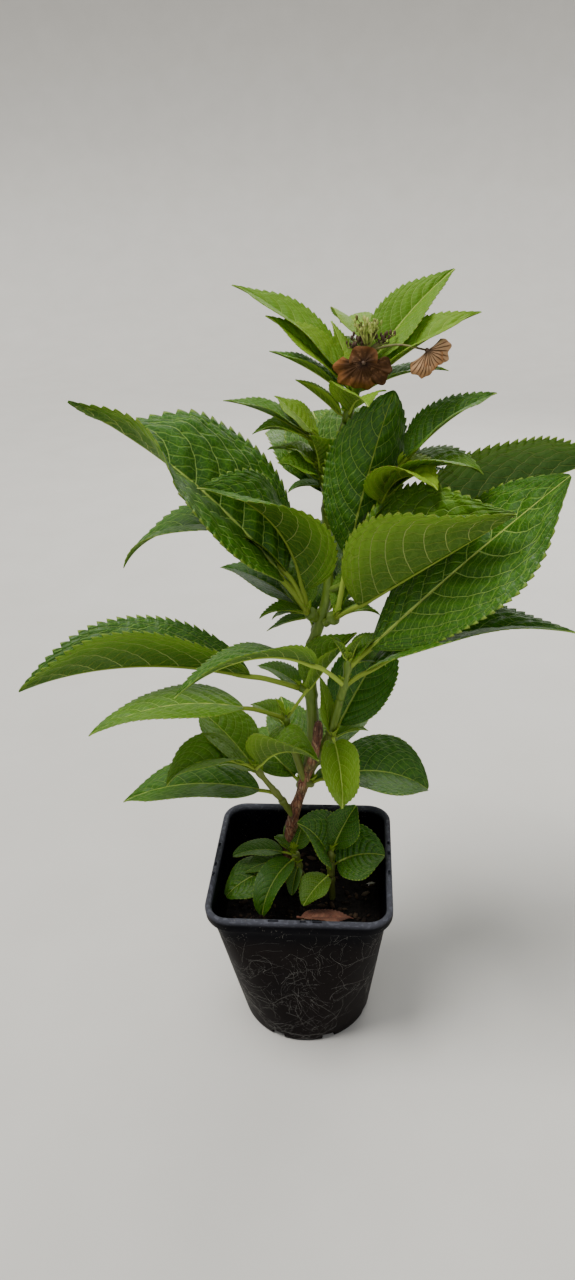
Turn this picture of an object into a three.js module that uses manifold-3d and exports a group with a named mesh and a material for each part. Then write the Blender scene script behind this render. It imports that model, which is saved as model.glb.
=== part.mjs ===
// A young hydrangea in its square nursery pot. Millimetres and degrees, +Z up, +X to the right,
// +Y away from the viewer, with the origin in the middle of the pot's flat underside.
import * as THREE from 'three';
import { mergeVertices } from 'three/addons/utils/BufferGeometryUtils.js';
import Module from 'manifold-3d';

const wasm = await Module();
wasm.setup();

// Driving dimensions
const potHeight = 168;
const rimHalf = 81; // half the width of the rolled rim
const rimTall = 13;
const rimOverhang = 5; // how far the rim stands out from the wall under it
const rimCorner = 18; // corner radius of the square mouth
const footRadius = 61; // the pot ends in a round foot
const wall = 2;
const floorThick = 3;
const potSides = 40;
const drainCount = 8;
const drainWide = 12;
const drainTall = 7;
const drainDeep = 12;
const soilTop = 126;
const gap = 0.3; // between solids that touch
const leafThin = 0.011; // blade thickness as a share of leaf length
const leafThinnest = 1;
const bladeRows = [[150, 5], [80, 4], [40, 3], [0, 2]]; // rows of faces for leaves over each length
const petioleBase = 0.7; // half the thickness of a petiole, plus its share of leaf length
const petioleShare = 0.008;
const clearance = 9; // seeded leaves keep this far from other masses
const merging = 0.15; // corners closer than this are joined after fusing

const degrees = Math.PI / 180;
const at = (x, y, z) => new THREE.Vector3(x, y, z);

// Limbs: points from root to tip, and the radius at the root, behind the root flare and at the tip
const limbs = {
  trunk: {
    path: [at(-12, 20, soilTop - 2), at(-14, 20, 160), at(-9, 17, 200), at(0, 14, 232), at(5, 12, 250),
      at(13, 4, 280), at(18, -1, 316)],
    radii: [8.5, 5.6, 3.6],
    sides: 10,
    look: 'bark',
  },
  main_bough: {
    path: [at(6, 15, 252), at(10, 15, 275), at(12, 15, 300), at(11, 15, 335), at(12, 17, 375),
      at(20, 19, 401), at(26, 24, 425), at(26, 31, 458), at(26, 40, 497), at(32, 40, 530),
      at(41, 36, 558)],
    radii: [5.6, 5.2, 3.2],
    sides: 8,
    look: 'greenStem',
  },
  right_bough: {
    path: [at(5, 12, 250), at(19, 13, 277), at(27, 7, 300), at(36, -2, 340)],
    radii: [4.2, 3.8, 3.4],
    sides: 7,
    look: 'greenStem',
  },
  left_bough: {
    path: [at(3, 12, 248), at(-1, 7, 268), at(-5, 3, 289)],
    radii: [3.4, 3.2, 3],
    sides: 7,
    look: 'greenStem',
  },
  low_left_bough: {
    path: [at(-8, 17, 202), at(-18, 9, 228)],
    radii: [3.4, 3.2, 3],
    sides: 7,
    look: 'greenStem',
  },
  upper_right_bough: {
    path: [at(26, 24, 425), at(38, 18, 433), at(48, 15, 446)],
    radii: [3.2, 3, 2.8],
    sides: 7,
    look: 'greenStem',
  },
  basal_left_stem: {
    path: [at(2, 3, soilTop - 2), at(-3, 6, 148)],
    radii: [3, 2.6, 2.3],
    sides: 7,
    look: 'greenStem',
  },
  basal_right_stem: {
    path: [at(27, -3, soilTop - 2), at(26, -4, 152)],
    radii: [3.4, 3, 2.6],
    sides: 7,
    look: 'greenStem',
  },
};

// One leaf: its place along the mass's stem from 0 to 1, its compass turn (0 right, 90 away, 180 left),
// the rise of its root, how far it droops by its tip, its length with the petiole, and its width
function leaf(along, turn, rise, droop, long, wide, more = {}) {
  const usual = { roll: 0, twist: 0, fold: 20, stalk: 0.1, belly: 0.42 };
  return { along, turn, rise, droop, long, wide, ...usual, ...more };
}

// Masses of foliage: the stem that each grows on, the leaves that show, and the span of its seeded leaves
const masses = {
  crown_top_leaves: {
    stem: [at(41, 36, 558), at(50, 31, 588), at(57, 29, 614)],
    thick: 3,
    leaves: [
      leaf(0.45, 165, 51, 30, 118, 38, { roll: 10, fold: 30 }),
      leaf(0.4, 175, 50, 20, 84, 34, { roll: 20, fold: 25 }),
      leaf(0.35, 182, 39, 20, 69, 24, { fold: 30 }),
      leaf(0.5, 120, 50, 5, 55, 14, { fold: 30 }),
      leaf(0.6, 30, 50, 20, 104, 38, { roll: -30, fold: 30 }),
      leaf(0.45, 0, 40, 20, 101, 40, { roll: -15, fold: 30 }),
      leaf(0.4, 10, 28, 40, 71, 28),
      leaf(0.1, 285, 45, 60, 62, 44, { roll: 10, fold: 30 }),
      leaf(0.06, 187, 44, 10, 47, 20, { fold: 40 }),
    ],
    seeded: { count: 3, turn: [60, 120], rise: [20, 40], long: [60, 90] },
    seed: 11,
  },
  upper_left_leaves: {
    stem: [at(26, 40, 497), at(22, 42, 519), at(20, 40, 545)],
    thick: 2.6,
    leaves: [
      leaf(0.95, 170, 35, 30, 80, 28, { fold: 30 }),
      leaf(1, 160, 50, 20, 46, 26, { roll: 10 }),
      leaf(0.45, 240, 80, 30, 35, 36, { fold: 45 }),
      leaf(0.45, 170, 52, 40, 37, 30),
      leaf(0.3, 200, 41, 30, 40, 32, { roll: 20, fold: 30 }),
      leaf(0.2, 185, 19, 60, 30, 18),
    ],
    seeded: { count: 2, turn: [150, 180], rise: [32, 45], long: [40, 55] },
    seed: 24,
  },
  upper_right_leaves: {
    stem: [at(48, 15, 446), at(57, 15, 466), at(64, 17, 492), at(79, 20, 528)],
    thick: 2.8,
    leaves: [
      leaf(0.05, 22, 22, 15, 230, 108, { roll: 34, fold: 44, stalk: 0.15 }),
      leaf(0.6, 320, 78, 120, 73, 52, { fold: 30 }),
      leaf(0.65, 345, 60, 90, 90, 50, { fold: 30 }),
      leaf(0.7, 0, 53, 60, 52, 36),
      leaf(1, 5, 50, 30, 88, 46, { roll: -10, fold: 30 }),
    ],
    seeded: { count: 1, turn: [0, 10], rise: [70, 80], long: [35, 45] },
    seed: 5,
  },
  middle_left_leaves: {
    stem: [at(16, 18, 403), at(11, 12, 412)],
    thick: 3.6,
    leaves: [
      leaf(0.8, 195, 61, 30, 248, 124, { roll: 26, fold: 26, stalk: 0.15 }),
      leaf(1, 183, 74, 135, 194, 64, { roll: -2, stalk: 0.2 }),
      leaf(1, 212, 87, 75, 158, 84, { roll: -15, twist: 40, fold: 35, stalk: 0.13 }),
      leaf(0.6, 155, 35, 40, 90, 44, { stalk: 0.15 }),
      leaf(0.8, 130, 50, 20, 50, 34),
      leaf(0.4, 170, -15, 20, 42, 17),
    ],
    seeded: { count: 2, turn: [150, 200], rise: [0, 30], long: [28, 45] },
    seed: 7,
  },
  middle_right_leaves: {
    stem: [at(24, 16, 400), at(32, 9, 409)],
    thick: 3.6,
    leaves: [
      leaf(0.8, 335, 38, 0, 176, 124, { roll: -8, fold: 68, stalk: 0.15, belly: 0.46 }),
      leaf(1, 25, 79, 10, 180, 72, { roll: -80, fold: -20, stalk: 0.27, belly: 0.55 }),
      leaf(0.7, 20, 49, 60, 27, 16),
      leaf(0.9, 60, 60, 20, 48, 20, { fold: 40 }),
    ],
    seeded: { count: 1, turn: [10, 30], rise: [20, 40], long: [25, 40] },
    seed: 3,
  },
  right_leaves: {
    stem: [at(36, -2, 340), at(41, -7, 362), at(43, -9, 380)],
    thick: 3.4,
    leaves: [
      leaf(0.85, 352, 49, 5, 223, 98, { roll: -35, fold: 2, belly: 0.58 }),
      leaf(0.4, 345, 44, 50, 193, 62, { stalk: 0.12 }),
      leaf(0.4, 222, 50, 75, 176, 46, { roll: -20, fold: 25, stalk: 0.24 }),
      leaf(0.9, 15, 66, 60, 38, 24),
      leaf(1, 200, 70, 20, 26, 14, { fold: 40 }),
      leaf(1, 330, 75, 20, 28, 14, { fold: 40 }),
    ],
    seeded: { count: 1, turn: [20, 40], rise: [0, 10], long: [35, 45] },
    seed: 17,
  },
  lower_right_leaves: {
    stem: [at(24, 9, 290), at(29, 3, 299)],
    thick: 3,
    leaves: [
      leaf(0.9, 45, 53, 20, 110, 56, { roll: -35 }),
      leaf(1, 282, 4, 120, 74, 40, { fold: 45 }),
      leaf(0.9, 150, 85, 10, 58, 20, { fold: 10 }),
    ],
    seeded: { count: 1, turn: [0, 20], rise: [20, 40], long: [25, 35] },
    seed: 29,
  },
  low_right_leaves: {
    stem: [at(2, 13, 240), at(10, 9, 247)],
    thick: 2.8,
    leaves: [
      leaf(1, 0, 27, 70, 108, 74, { roll: -10, fold: 25, belly: 0.55, stalk: 0.12 }),
    ],
    seeded: { count: 2, turn: [10, 35], rise: [10, 40], long: [30, 45] },
    seed: 31,
  },
  left_leaves: {
    stem: [at(11, 15, 335), at(1, 14, 341)],
    thick: 3.2,
    leaves: [
      leaf(0.9, 190, 24, 45, 236, 80, { roll: -8, fold: 64, stalk: 0.18, belly: 0.5 }),
    ],
    seeded: { count: 1, turn: [140, 160], rise: [30, 50], long: [40, 60] },
    seed: 41,
  },
  left_middle_leaves: {
    stem: [at(-5, 3, 289), at(-10, -2, 322)],
    thick: 3,
    leaves: [
      leaf(0.95, 197, 30, 60, 169, 60, { roll: -5, fold: 10, stalk: 0.22 }),
      leaf(0.95, 8, 57, 10, 96, 50, { roll: -15, fold: 60, stalk: 0.34 }),
      leaf(1, 170, 75, 10, 18, 9, { fold: 35 }),
    ],
    seeded: { count: 1, turn: [120, 150], rise: [20, 40], long: [35, 50] },
    seed: 43,
  },
  low_left_leaves: {
    stem: [at(-18, 9, 228), at(-24, 6, 240), at(-38, 0, 267)],
    thick: 2.8,
    leaves: [
      leaf(1, 205, 46, 100, 90, 48, { roll: 5, fold: 35, stalk: 0.15 }),
      leaf(0.95, 150, 48, 30, 77, 56),
      leaf(1, 318, 57, 60, 94, 52, { roll: 5, fold: 55 }),
      leaf(0.2, 186, 21, 50, 140, 58, { roll: 5 }),
    ],
    seeded: { count: 2, turn: [110, 170], rise: [10, 40], long: [30, 45] },
    seed: 48,
  },
  basal_left_leaves: {
    stem: [at(-3, 6, 148), at(-8, 9, 168)],
    thick: 2.2,
    leaves: [
      leaf(0.8, 190, 32, 60, 60, 24, { stalk: 0.2 }),
      leaf(0.5, 200, 26, 60, 52, 24, { stalk: 0.2 }),
      leaf(0.2, 205, 22, 70, 77, 42, { roll: 12, fold: 8, stalk: 0.2 }),
      leaf(0.7, 240, 18, 100, 70, 30, { fold: 30 }),
      leaf(0.3, 262, 15, 70, 34, 14),
      leaf(1, 165, 46, 30, 22, 12),
      leaf(1, 60, 68, 30, 28, 26),
    ],
    seeded: { count: 2, turn: [90, 150], rise: [20, 50], long: [30, 45] },
    seed: 53,
  },
  basal_right_leaves: {
    stem: [at(26, -4, 152), at(26, -4, 181)],
    thick: 2.6,
    leaves: [
      leaf(0.3, 200, 86, 50, 68, 56, { roll: 30, fold: 25 }),
      leaf(0.4, 0, 42, 60, 52, 60, { roll: -20 }),
      leaf(0.95, 40, 62, 20, 48, 36, { roll: -30, fold: 30 }),
      leaf(0.1, 230, 0, 45, 40, 30),
    ],
    seeded: { count: 2, turn: [60, 110], rise: [20, 50], long: [35, 50] },
    seed: 59,
  },
  back_upper_leaves: {
    stem: [at(26, 38, 482), at(30, 52, 492)],
    thick: 3,
    leaves: [],
    seeded: { count: 4, turn: [50, 125], rise: [25, 50], long: [100, 140] },
    seed: 61,
  },
  back_middle_leaves: {
    stem: [at(15, 18, 386), at(16, 32, 396)],
    thick: 3.4,
    leaves: [],
    seeded: { count: 4, turn: [40, 128], rise: [25, 45], long: [130, 180] },
    seed: 67,
  },
  back_low_leaves: {
    stem: [at(0, 14, 232), at(0, 28, 242)],
    thick: 3,
    leaves: [],
    seeded: { count: 4, turn: [55, 145], rise: [15, 40], long: [90, 130] },
    seed: 71,
  },
};

// Dry florets left on the old flower head: where each hangs, and how long its sepals are
const florets = [
  { centre: at(53, 12, 606), sepal: 24, turn: 275 },
  { centre: at(98, 18, 612), sepal: 19, turn: 300 },
];
const budStalks = 5;

// Finishes, after the photographed plant
const looks = {
  bark: { color: 0x7a6444, roughness: 0.9 },
  greenStem: { color: 0x6f8a2e, roughness: 0.6 },
  foliage: { color: 0x2f6a1f, roughness: 0.5 },
  dryLeaf: { color: 0x7c4a30, roughness: 0.85 },
  blackPlastic: { color: 0x17191b, roughness: 0.45 },
  soil: { color: 0x1d1815, roughness: 1 },
};

// Small seeded random numbers from 0 to 1, the same on every run
function seededRandom(seed) {
  let state = seed * 7919;
  return () => {
    state = (state * 16807) % 2147483647;
    return state / 2147483647;
  };
}

function toSolid(geometry) {
  geometry.deleteAttribute('normal');
  geometry.deleteAttribute('uv');
  const merged = mergeVertices(geometry);
  return new wasm.Manifold(new wasm.Mesh({
    numProp: 3,
    vertProperties: new Float32Array(merged.attributes.position.array),
    triVerts: new Uint32Array(merged.index.array),
  }));
}

function toMesh(solid, name, look) {
  const { vertProperties, triVerts } = solid.getMesh();
  const geometry = new THREE.BufferGeometry();
  geometry.setAttribute('position', new THREE.BufferAttribute(new Float32Array(vertProperties), 3));
  geometry.setIndex(new THREE.BufferAttribute(new Uint32Array(triVerts), 1));
  geometry.computeVertexNormals();
  const mesh = new THREE.Mesh(geometry, new THREE.MeshStandardMaterial({ metalness: 0, ...looks[look] }));
  mesh.name = name;
  return mesh;
}

// Moves every vertex of a box or cylinder to its place on a leaf or limb
function bend(geometry, place) {
  const spot = new THREE.Vector3();
  const vertices = geometry.attributes.position;
  for (let i = 0; i < vertices.count; i += 1) {
    place(spot.fromBufferAttribute(vertices, i));
    vertices.setXYZ(i, spot.x, spot.y, spot.z);
  }
  return geometry;
}

// Keeps the largest piece: loose scraps are dropped, and hollows sealed by fusing are filled
function largest(solid) {
  const pieces = solid.decompose();
  return pieces.reduce((best, piece) => (piece.volume() > best.volume() ? piece : best));
}

// A round limb along a smooth path; grown is added all round it and at both ends
function limbSolid({ path, radii, sides }, grown = 0) {
  const curve = new THREE.CatmullRomCurve3(path, false, 'centripetal');
  const rows = path.length + 1;
  const frames = curve.computeFrenetFrames(rows);
  const flare = 0.12; // the root flare ends this far up the limb
  const radiusAt = (s) => (s < flare
    ? THREE.MathUtils.lerp(radii[0], radii[1], s / flare)
    : THREE.MathUtils.lerp(radii[1], radii[2], (s - flare) / (1 - flare)));
  const tube = new THREE.CylinderGeometry(1, 1, 1, sides, rows);
  bend(tube, (spot) => {
    const row = Math.round((spot.y + 0.5) * rows);
    const radius = radiusAt(row / rows) + grown;
    const end = row === 0 ? -grown : row === rows ? grown : 0;
    const across = frames.normals[row].clone().multiplyScalar(spot.x * radius);
    const deep = frames.binormals[row].clone().multiplyScalar(-spot.z * radius);
    spot.copy(curve.getPointAt(row / rows)).addScaledVector(frames.tangents[row], end).add(across).add(deep);
  });
  return toSolid(tube);
}

// The midrib of a leaf, as points and directions in equal steps from its root
function midrib(root, { turn, rise, droop, long }, steps = 24) {
  const ribs = [];
  const spot = root.clone();
  for (let i = 0; i <= steps; i += 1) {
    const climb = (rise - droop * (i / steps) ** 1.3) * degrees;
    const heading = at(
      Math.cos(climb) * Math.cos(turn * degrees),
      Math.cos(climb) * Math.sin(turn * degrees),
      Math.sin(climb),
    );
    if (i > 0) {
      const middle = ribs[i - 1].heading.clone().add(heading).multiplyScalar(long / steps / 2);
      spot.add(middle);
    }
    ribs.push({ spot: spot.clone(), heading });
  }
  return ribs;
}

// Half the width of the blade at t, from 0 at its base to 1 at its tip, widest at the belly
function bladeHalf(t, wide, belly) {
  const nearBase = 1.65 * belly;
  const nearTip = 1.65 * (1 - belly) + 0.1;
  const peak = nearBase / (nearBase + nearTip);
  const most = peak ** nearBase * (1 - peak) ** nearTip;
  return (wide / 2) * (t ** nearBase * (1 - t) ** nearTip) / most;
}

// A leaf is a thin box bent along its midrib: a petiole, then a blade folded up along the midrib
function leafSolid(root, form) {
  const { turn, long, wide, roll, twist, fold, stalk, belly } = form;
  const steps = 24;
  const ribs = midrib(root, form, steps);
  const petiole = petioleBase + petioleShare * long;
  const thick = Math.max(leafThinnest, leafThin * long);
  const stops = [0, stalk * 0.9];
  const rows = bladeRows.find(([over]) => long > over)[1];
  for (let i = 1; i <= rows; i += 1) stops.push(stalk + (1 - stalk) * (i / rows) ** 0.9);
  const box = new THREE.BoxGeometry(1, 1, 1, 2, stops.length - 1, 1);
  bend(box, (spot) => {
    const s = stops[Math.round((spot.y + 0.5) * (stops.length - 1))];
    const place = Math.min(s * steps, steps - 1e-6);
    const low = Math.floor(place);
    const point = ribs[low].spot.clone().lerp(ribs[low + 1].spot, place - low);
    const heading = ribs[low].heading.clone().lerp(ribs[low + 1].heading, place - low).normalize();
    const level = at(Math.sin(turn * degrees), -Math.cos(turn * degrees), 0);
    level.applyAxisAngle(heading, -(roll + twist * s) * degrees);
    const upward = level.clone().cross(heading);
    const t = Math.min(Math.max((s - stalk) / (1 - stalk), 0), 1);
    const blade = t > 0 && t < 1 ? bladeHalf(t, wide, belly) : 0;
    const half = Math.max(blade, t < 0.5 ? petiole : leafThinnest);
    const lift = t > 0 ? fold * degrees : 0;
    const tall = t > 0 ? thick : petiole * 2;
    const out = spot.x * 2 * half;
    const up = Math.abs(out) * Math.sin(lift) + spot.z * tall;
    spot.copy(point).addScaledVector(level, out * Math.cos(lift)).addScaledVector(upward, up);
  });
  return toSolid(box);
}

// A leaf's root is sunk in the side of the stem that it faces
function rootOf(stem, { thick }, { along, turn }) {
  const inward = thick * 0.45;
  const step = at(inward * Math.cos(turn * degrees), inward * Math.sin(turn * degrees), 0);
  return stem.getPointAt(along).add(step);
}

const taken = []; // midrib points that are in use, each with the name of its mass
function isCrowded(ribs, name) {
  const outer = ribs.slice(6);
  return outer.some(({ spot }) => taken.some((other) => other.name !== name
    && other.spot.distanceTo(spot) < clearance));
}

// The seeded rule: leaves spread over the span of a mass, each a little different
function seededLeaves({ seeded, seed }) {
  const random = seededRandom(seed);
  const between = ([low, high], share) => low + (high - low) * share;
  return Array.from({ length: seeded.count }, (_, i) => {
    const share = (i + 0.2 + 0.6 * random()) / seeded.count;
    const long = between(seeded.long, random());
    const along = 0.3 + 0.7 * random();
    const rise = between(seeded.rise, random());
    const droop = 35 + 30 * random();
    const wide = long * (0.46 + 0.08 * random());
    const more = { roll: 30 * random() - 15, fold: 18 + 14 * random() };
    return leaf(along, between(seeded.turn, share), rise, droop, long, wide, more);
  });
}

// A floret's four dry sepals round the end of its stalk
function floretParts({ centre, sepal, turn }, stalkRoot) {
  const parts = [limbSolid({ path: [stalkRoot, centre], radii: [1.1, 1, 0.9], sides: 5 })];
  for (let i = 0; i < 4; i += 1) {
    const side = (i * 90 + 45) * degrees;
    const form = leaf(0, turn + 55 * Math.cos(side), -20 + 50 * Math.sin(side), 40, sepal, sepal * 1.05,
      { fold: 5, stalk: 0.04, belly: 0.55 });
    parts.push(leafSolid(centre, form));
  }
  return parts;
}

// The spent flower head: bud stalks that spread from the stem's tip, and the florets
function flowerParts(tip) {
  const random = seededRandom(83);
  const parts = florets.flatMap((floret) => floretParts(floret, tip));
  for (let i = 0; i < budStalks; i += 1) {
    const turn = (360 / budStalks) * (i + random()) * degrees;
    const bud = tip.clone().add(at(9 * Math.cos(turn), 9 * Math.sin(turn), 10 + 6 * random()));
    parts.push(limbSolid({ path: [tip, bud], radii: [0.8, 0.8, 2.2], sides: 5 }));
  }
  return parts;
}

// Rounded square of the pot at one height: the corner radius shrinks from the round foot to the square mouth
function cornerAt(z) {
  return THREE.MathUtils.lerp(footRadius, rimCorner, z / potHeight);
}
function wallHalf(z) {
  return THREE.MathUtils.lerp(footRadius, rimHalf - rimOverhang, z / (potHeight - rimTall));
}
function squared(profile) {
  const turned = new THREE.LatheGeometry(profile.map(([half, z]) => new THREE.Vector2(half, z)), potSides);
  turned.rotateX(Math.PI / 2);
  bend(turned, (spot) => {
    const half = Math.hypot(spot.x, spot.y);
    if (half < 1e-6) return;
    const corner = Math.min(half, Math.max(1, cornerAt(spot.z) - (wallHalf(spot.z) - half)));
    const cx = Math.abs(spot.x) / half;
    const cy = Math.abs(spot.y) / half;
    const inner = half - corner;
    const across = Math.max(cx, cy);
    const low = Math.min(cx, cy);
    let reach = half / across;
    if (reach * low > inner) {
      const middle = inner * (cx + cy);
      reach = middle + Math.sqrt(middle ** 2 - 2 * inner ** 2 + corner ** 2);
    }
    spot.x *= reach / half;
    spot.y *= reach / half;
  });
  return toSolid(turned);
}

const skirt = potHeight - rimTall; // where the rim starts
const lip = 1.5; // rounding of the rim's edges
const levels = [60, soilTop];

function potOutside() {
  return squared([
    [0, 0], [footRadius - lip, 0], [wallHalf(lip), lip], ...levels.map((z) => [wallHalf(z), z]),
    [wallHalf(skirt), skirt], [rimHalf - lip, skirt], [rimHalf, skirt + lip], [rimHalf, potHeight - lip],
    [rimHalf - lip, potHeight], [0, potHeight],
  ]);
}

function potInside() {
  const mouth = rimHalf - rimOverhang;
  return squared([
    [0, floorThick], ...[floorThick, ...levels, skirt].map((z) => [wallHalf(z) - wall, z]),
    [mouth - wall + lip, potHeight - lip], [mouth + lip, potHeight],
    [mouth + lip, potHeight + 1], [0, potHeight + 1],
  ]);
}

function potSolid() {
  let pot = potOutside().subtract(potInside());
  for (let i = 0; i < drainCount; i += 1) {
    const slot = new THREE.BoxGeometry(drainDeep, drainWide, drainTall * 2);
    slot.translate(footRadius, 0, 0).rotateZ((i + 0.5) * (360 / drainCount) * degrees);
    pot = pot.subtract(toSolid(slot));
  }
  return pot;
}

// The soil fills the pot's inside up to its own level, clear of the wall and the floor
function soilSolid() {
  const shrink = 1 - gap / (footRadius - wall);
  return potInside().scale([shrink, shrink, 1]).trimByPlane([0, 0, -1], -soilTop)
    .trimByPlane([0, 0, 1], floorThick + gap);
}

// A dry leaf that fell on the soil at the front of the pot
function fallenLeaf() {
  const form = leaf(0, 8, -2, 10, 52, 26, { roll: 20, fold: 12, stalk: 0.08 });
  return leafSolid(at(-4, -38, soilTop + 7), form);
}

const hydrangea = new THREE.Group();
hydrangea.add(toMesh(potSolid(), 'pot', 'blackPlastic'));
hydrangea.add(toMesh(soilSolid(), 'soil', 'soil'));
hydrangea.add(toMesh(fallenLeaf(), 'fallen_leaf', 'dryLeaf'));

// Each limb is cut clear of the limbs before it, so that a fork fits round its parent
const grownLimbs = [];
for (const [name, limb] of Object.entries(limbs)) {
  let solid = limbSolid(limb);
  for (const grown of grownLimbs) solid = solid.subtract(grown);
  solid = solid.trimByPlane([0, 0, 1], soilTop + gap);
  hydrangea.add(toMesh(largest(solid), name, limb.look));
  grownLimbs.push(limbSolid(limb, gap));
}

for (const [name, mass] of Object.entries(masses)) {
  const stem = new THREE.CatmullRomCurve3(mass.stem, false, 'centripetal');
  for (const form of mass.leaves) {
    for (const { spot } of midrib(rootOf(stem, mass, form), form)) taken.push({ name, spot });
  }
}

for (const [name, mass] of Object.entries(masses)) {
  const stem = new THREE.CatmullRomCurve3(mass.stem, false, 'centripetal');
  const radii = [mass.thick, mass.thick, mass.thick * 0.75];
  const parts = [limbSolid({ path: mass.stem, radii, sides: 6 })];
  for (const form of mass.leaves) parts.push(leafSolid(rootOf(stem, mass, form), form));
  for (const form of seededLeaves(mass)) {
    const root = rootOf(stem, mass, form);
    const ribs = midrib(root, form);
    if (!isCrowded(ribs, name)) {
      parts.push(leafSolid(root, form));
      for (const { spot } of ribs) taken.push({ name, spot });
    }
  }
  if (name === 'crown_top_leaves') parts.push(...flowerParts(mass.stem.at(-1)));
  let solid = wasm.Manifold.union(parts);
  for (const grown of grownLimbs) solid = solid.subtract(grown);
  hydrangea.add(toMesh(largest(solid.simplify(merging)), name, 'foliage'));
}

export default hydrangea;
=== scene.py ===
import math
import random

import bmesh
import bpy
import numpy as np
from mathutils import Matrix, Vector, noise


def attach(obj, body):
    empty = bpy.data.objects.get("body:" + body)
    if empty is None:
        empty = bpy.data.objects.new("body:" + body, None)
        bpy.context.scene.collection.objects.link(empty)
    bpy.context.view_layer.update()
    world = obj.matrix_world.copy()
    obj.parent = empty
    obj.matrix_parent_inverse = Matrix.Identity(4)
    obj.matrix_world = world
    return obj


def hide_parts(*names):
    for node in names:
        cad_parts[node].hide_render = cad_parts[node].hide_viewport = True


# A young hydrangea in its square nursery pot. Sizes are in millimetres and turned into metres as a
# mesh is made: +Z up, +X to the right, +Y away from the camera, from the middle of the pot's underside.
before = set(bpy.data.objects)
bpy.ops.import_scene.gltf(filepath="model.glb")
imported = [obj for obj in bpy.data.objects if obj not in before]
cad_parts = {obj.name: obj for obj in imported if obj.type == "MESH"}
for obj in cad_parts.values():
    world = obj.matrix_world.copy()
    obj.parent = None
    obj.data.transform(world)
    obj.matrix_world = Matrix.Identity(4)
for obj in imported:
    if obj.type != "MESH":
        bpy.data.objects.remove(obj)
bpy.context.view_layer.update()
milli = 0.001


def mixed(low, high, share):
    return low + (high - low) * share


def held(value, low, high):  # a number kept within limits
    return min(high, max(low, value))


def unit(values):  # an array kept from 0 to 1
    return np.clip(values, 0, 1)


def channels(code):  # the red, green and blue of a colour as it is picked on screen, such as "6b8c3a"
    return [int(code[i:i + 2], 16) for i in (0, 2, 4)]


def rgb(code):  # the same colour in Blender's linear light
    parts = [c / 255 for c in channels(code)]
    return (*[c / 12.92 if c <= 0.04045 else ((c + 0.055) / 1.055) ** 2.4 for c in parts], 1)


def codeBetween(low, high, share):  # a colour between two that are picked on screen
    return "".join(f"{round(mixed(a, b, share)):02x}" for a, b in zip(channels(low), channels(high)))


def operator(how, swapped=False):  # lets a wire stand in a sum with numbers and other wires
    def method(wire, other):
        return wire.sum(how, other, wire) if swapped else wire.sum(how, wire, other)
    return method


class Wire:
    # A socket of a material's nodes. Sums on it add Math nodes, and node() adds any other node.
    def __init__(self, tree, socket=None):
        self.tree = tree
        self.socket = socket

    def node(self, kind, settings=None, inputs=None, out=0):
        made = self.tree.nodes.new("ShaderNode" + kind)
        for name, value in (settings or {}).items():
            if name == "stops":
                ramp = made.color_ramp
                for place, colour in value[2:]:
                    ramp.elements.new(place)
                for element, (place, colour) in zip(ramp.elements, sorted(value)):
                    element.position = place
                    element.color = colour
            else:
                setattr(made, name, value)
        for name, value in (inputs or {}).items():
            if isinstance(value, Wire):
                self.tree.links.new(value.socket, made.inputs[name])
            else:
                made.inputs[name].default_value = value
        return Wire(self.tree, made.outputs[out])

    def sum(self, how, first, second=0.0):
        return self.node("Math", {"operation": how}, {0: first, 1: second})

    __add__, __radd__ = operator("ADD"), operator("ADD", True)
    __sub__, __rsub__ = operator("SUBTRACT"), operator("SUBTRACT", True)
    __mul__, __rmul__ = operator("MULTIPLY"), operator("MULTIPLY", True)
    __truediv__ = operator("DIVIDE")

    def __abs__(self):
        return self.sum("ABSOLUTE", self)

    def fraction(self):
        return self.sum("FRACT", self)

    def floor(self):
        return self.sum("FLOOR", self)

    def between(self, low, high, start=0.0, end=1.0):  # a soft step from start to end
        steps = {"Value": self, "From Min": low, "From Max": high, "To Min": start, "To Max": end}
        return self.node("MapRange", {"interpolation_type": "SMOOTHSTEP"}, steps)

    def mix(self, first, second):  # two colours, with this wire as the share of the second
        first, second = (rgb(c) if isinstance(c, str) else c for c in (first, second))
        return self.node("Mix", {"data_type": "RGBA"}, {0: self, 6: first, 7: second}, out=2)

    def ramp(self, *stops):  # a colour for each place along this wire
        stops = [(place, rgb(code)) for place, code in stops]
        return self.node("ValToRGB", {"stops": stops}, {"Fac": self})

    def split(self):
        made = self.tree.nodes.new("ShaderNodeSeparateXYZ")
        self.tree.links.new(self.socket, made.inputs[0])
        return [Wire(self.tree, made.outputs[i]) for i in range(3)]

    def noise(self, scale, detail=3.0, rough=0.55):
        facts = {"Vector": self, "Scale": scale, "Detail": detail, "Roughness": rough}
        return self.node("TexNoise", None, facts)

    def cells(self, scale, feature="DISTANCE_TO_EDGE", jitter=1.0):
        facts = {"Vector": self, "Scale": scale, "Randomness": jitter}
        return self.node("TexVoronoi", {"feature": feature}, facts)

    def stretch(self, x, y, z):
        return self.node("Mapping", None, {"Vector": self, "Scale": (x, y, z)})


def coats(colour, *layers):  # each layer is a mask and the colour that it lays over the ones before
    for mask, coat in layers:
        colour = mask.mix(colour, coat)
    return colour


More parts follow.
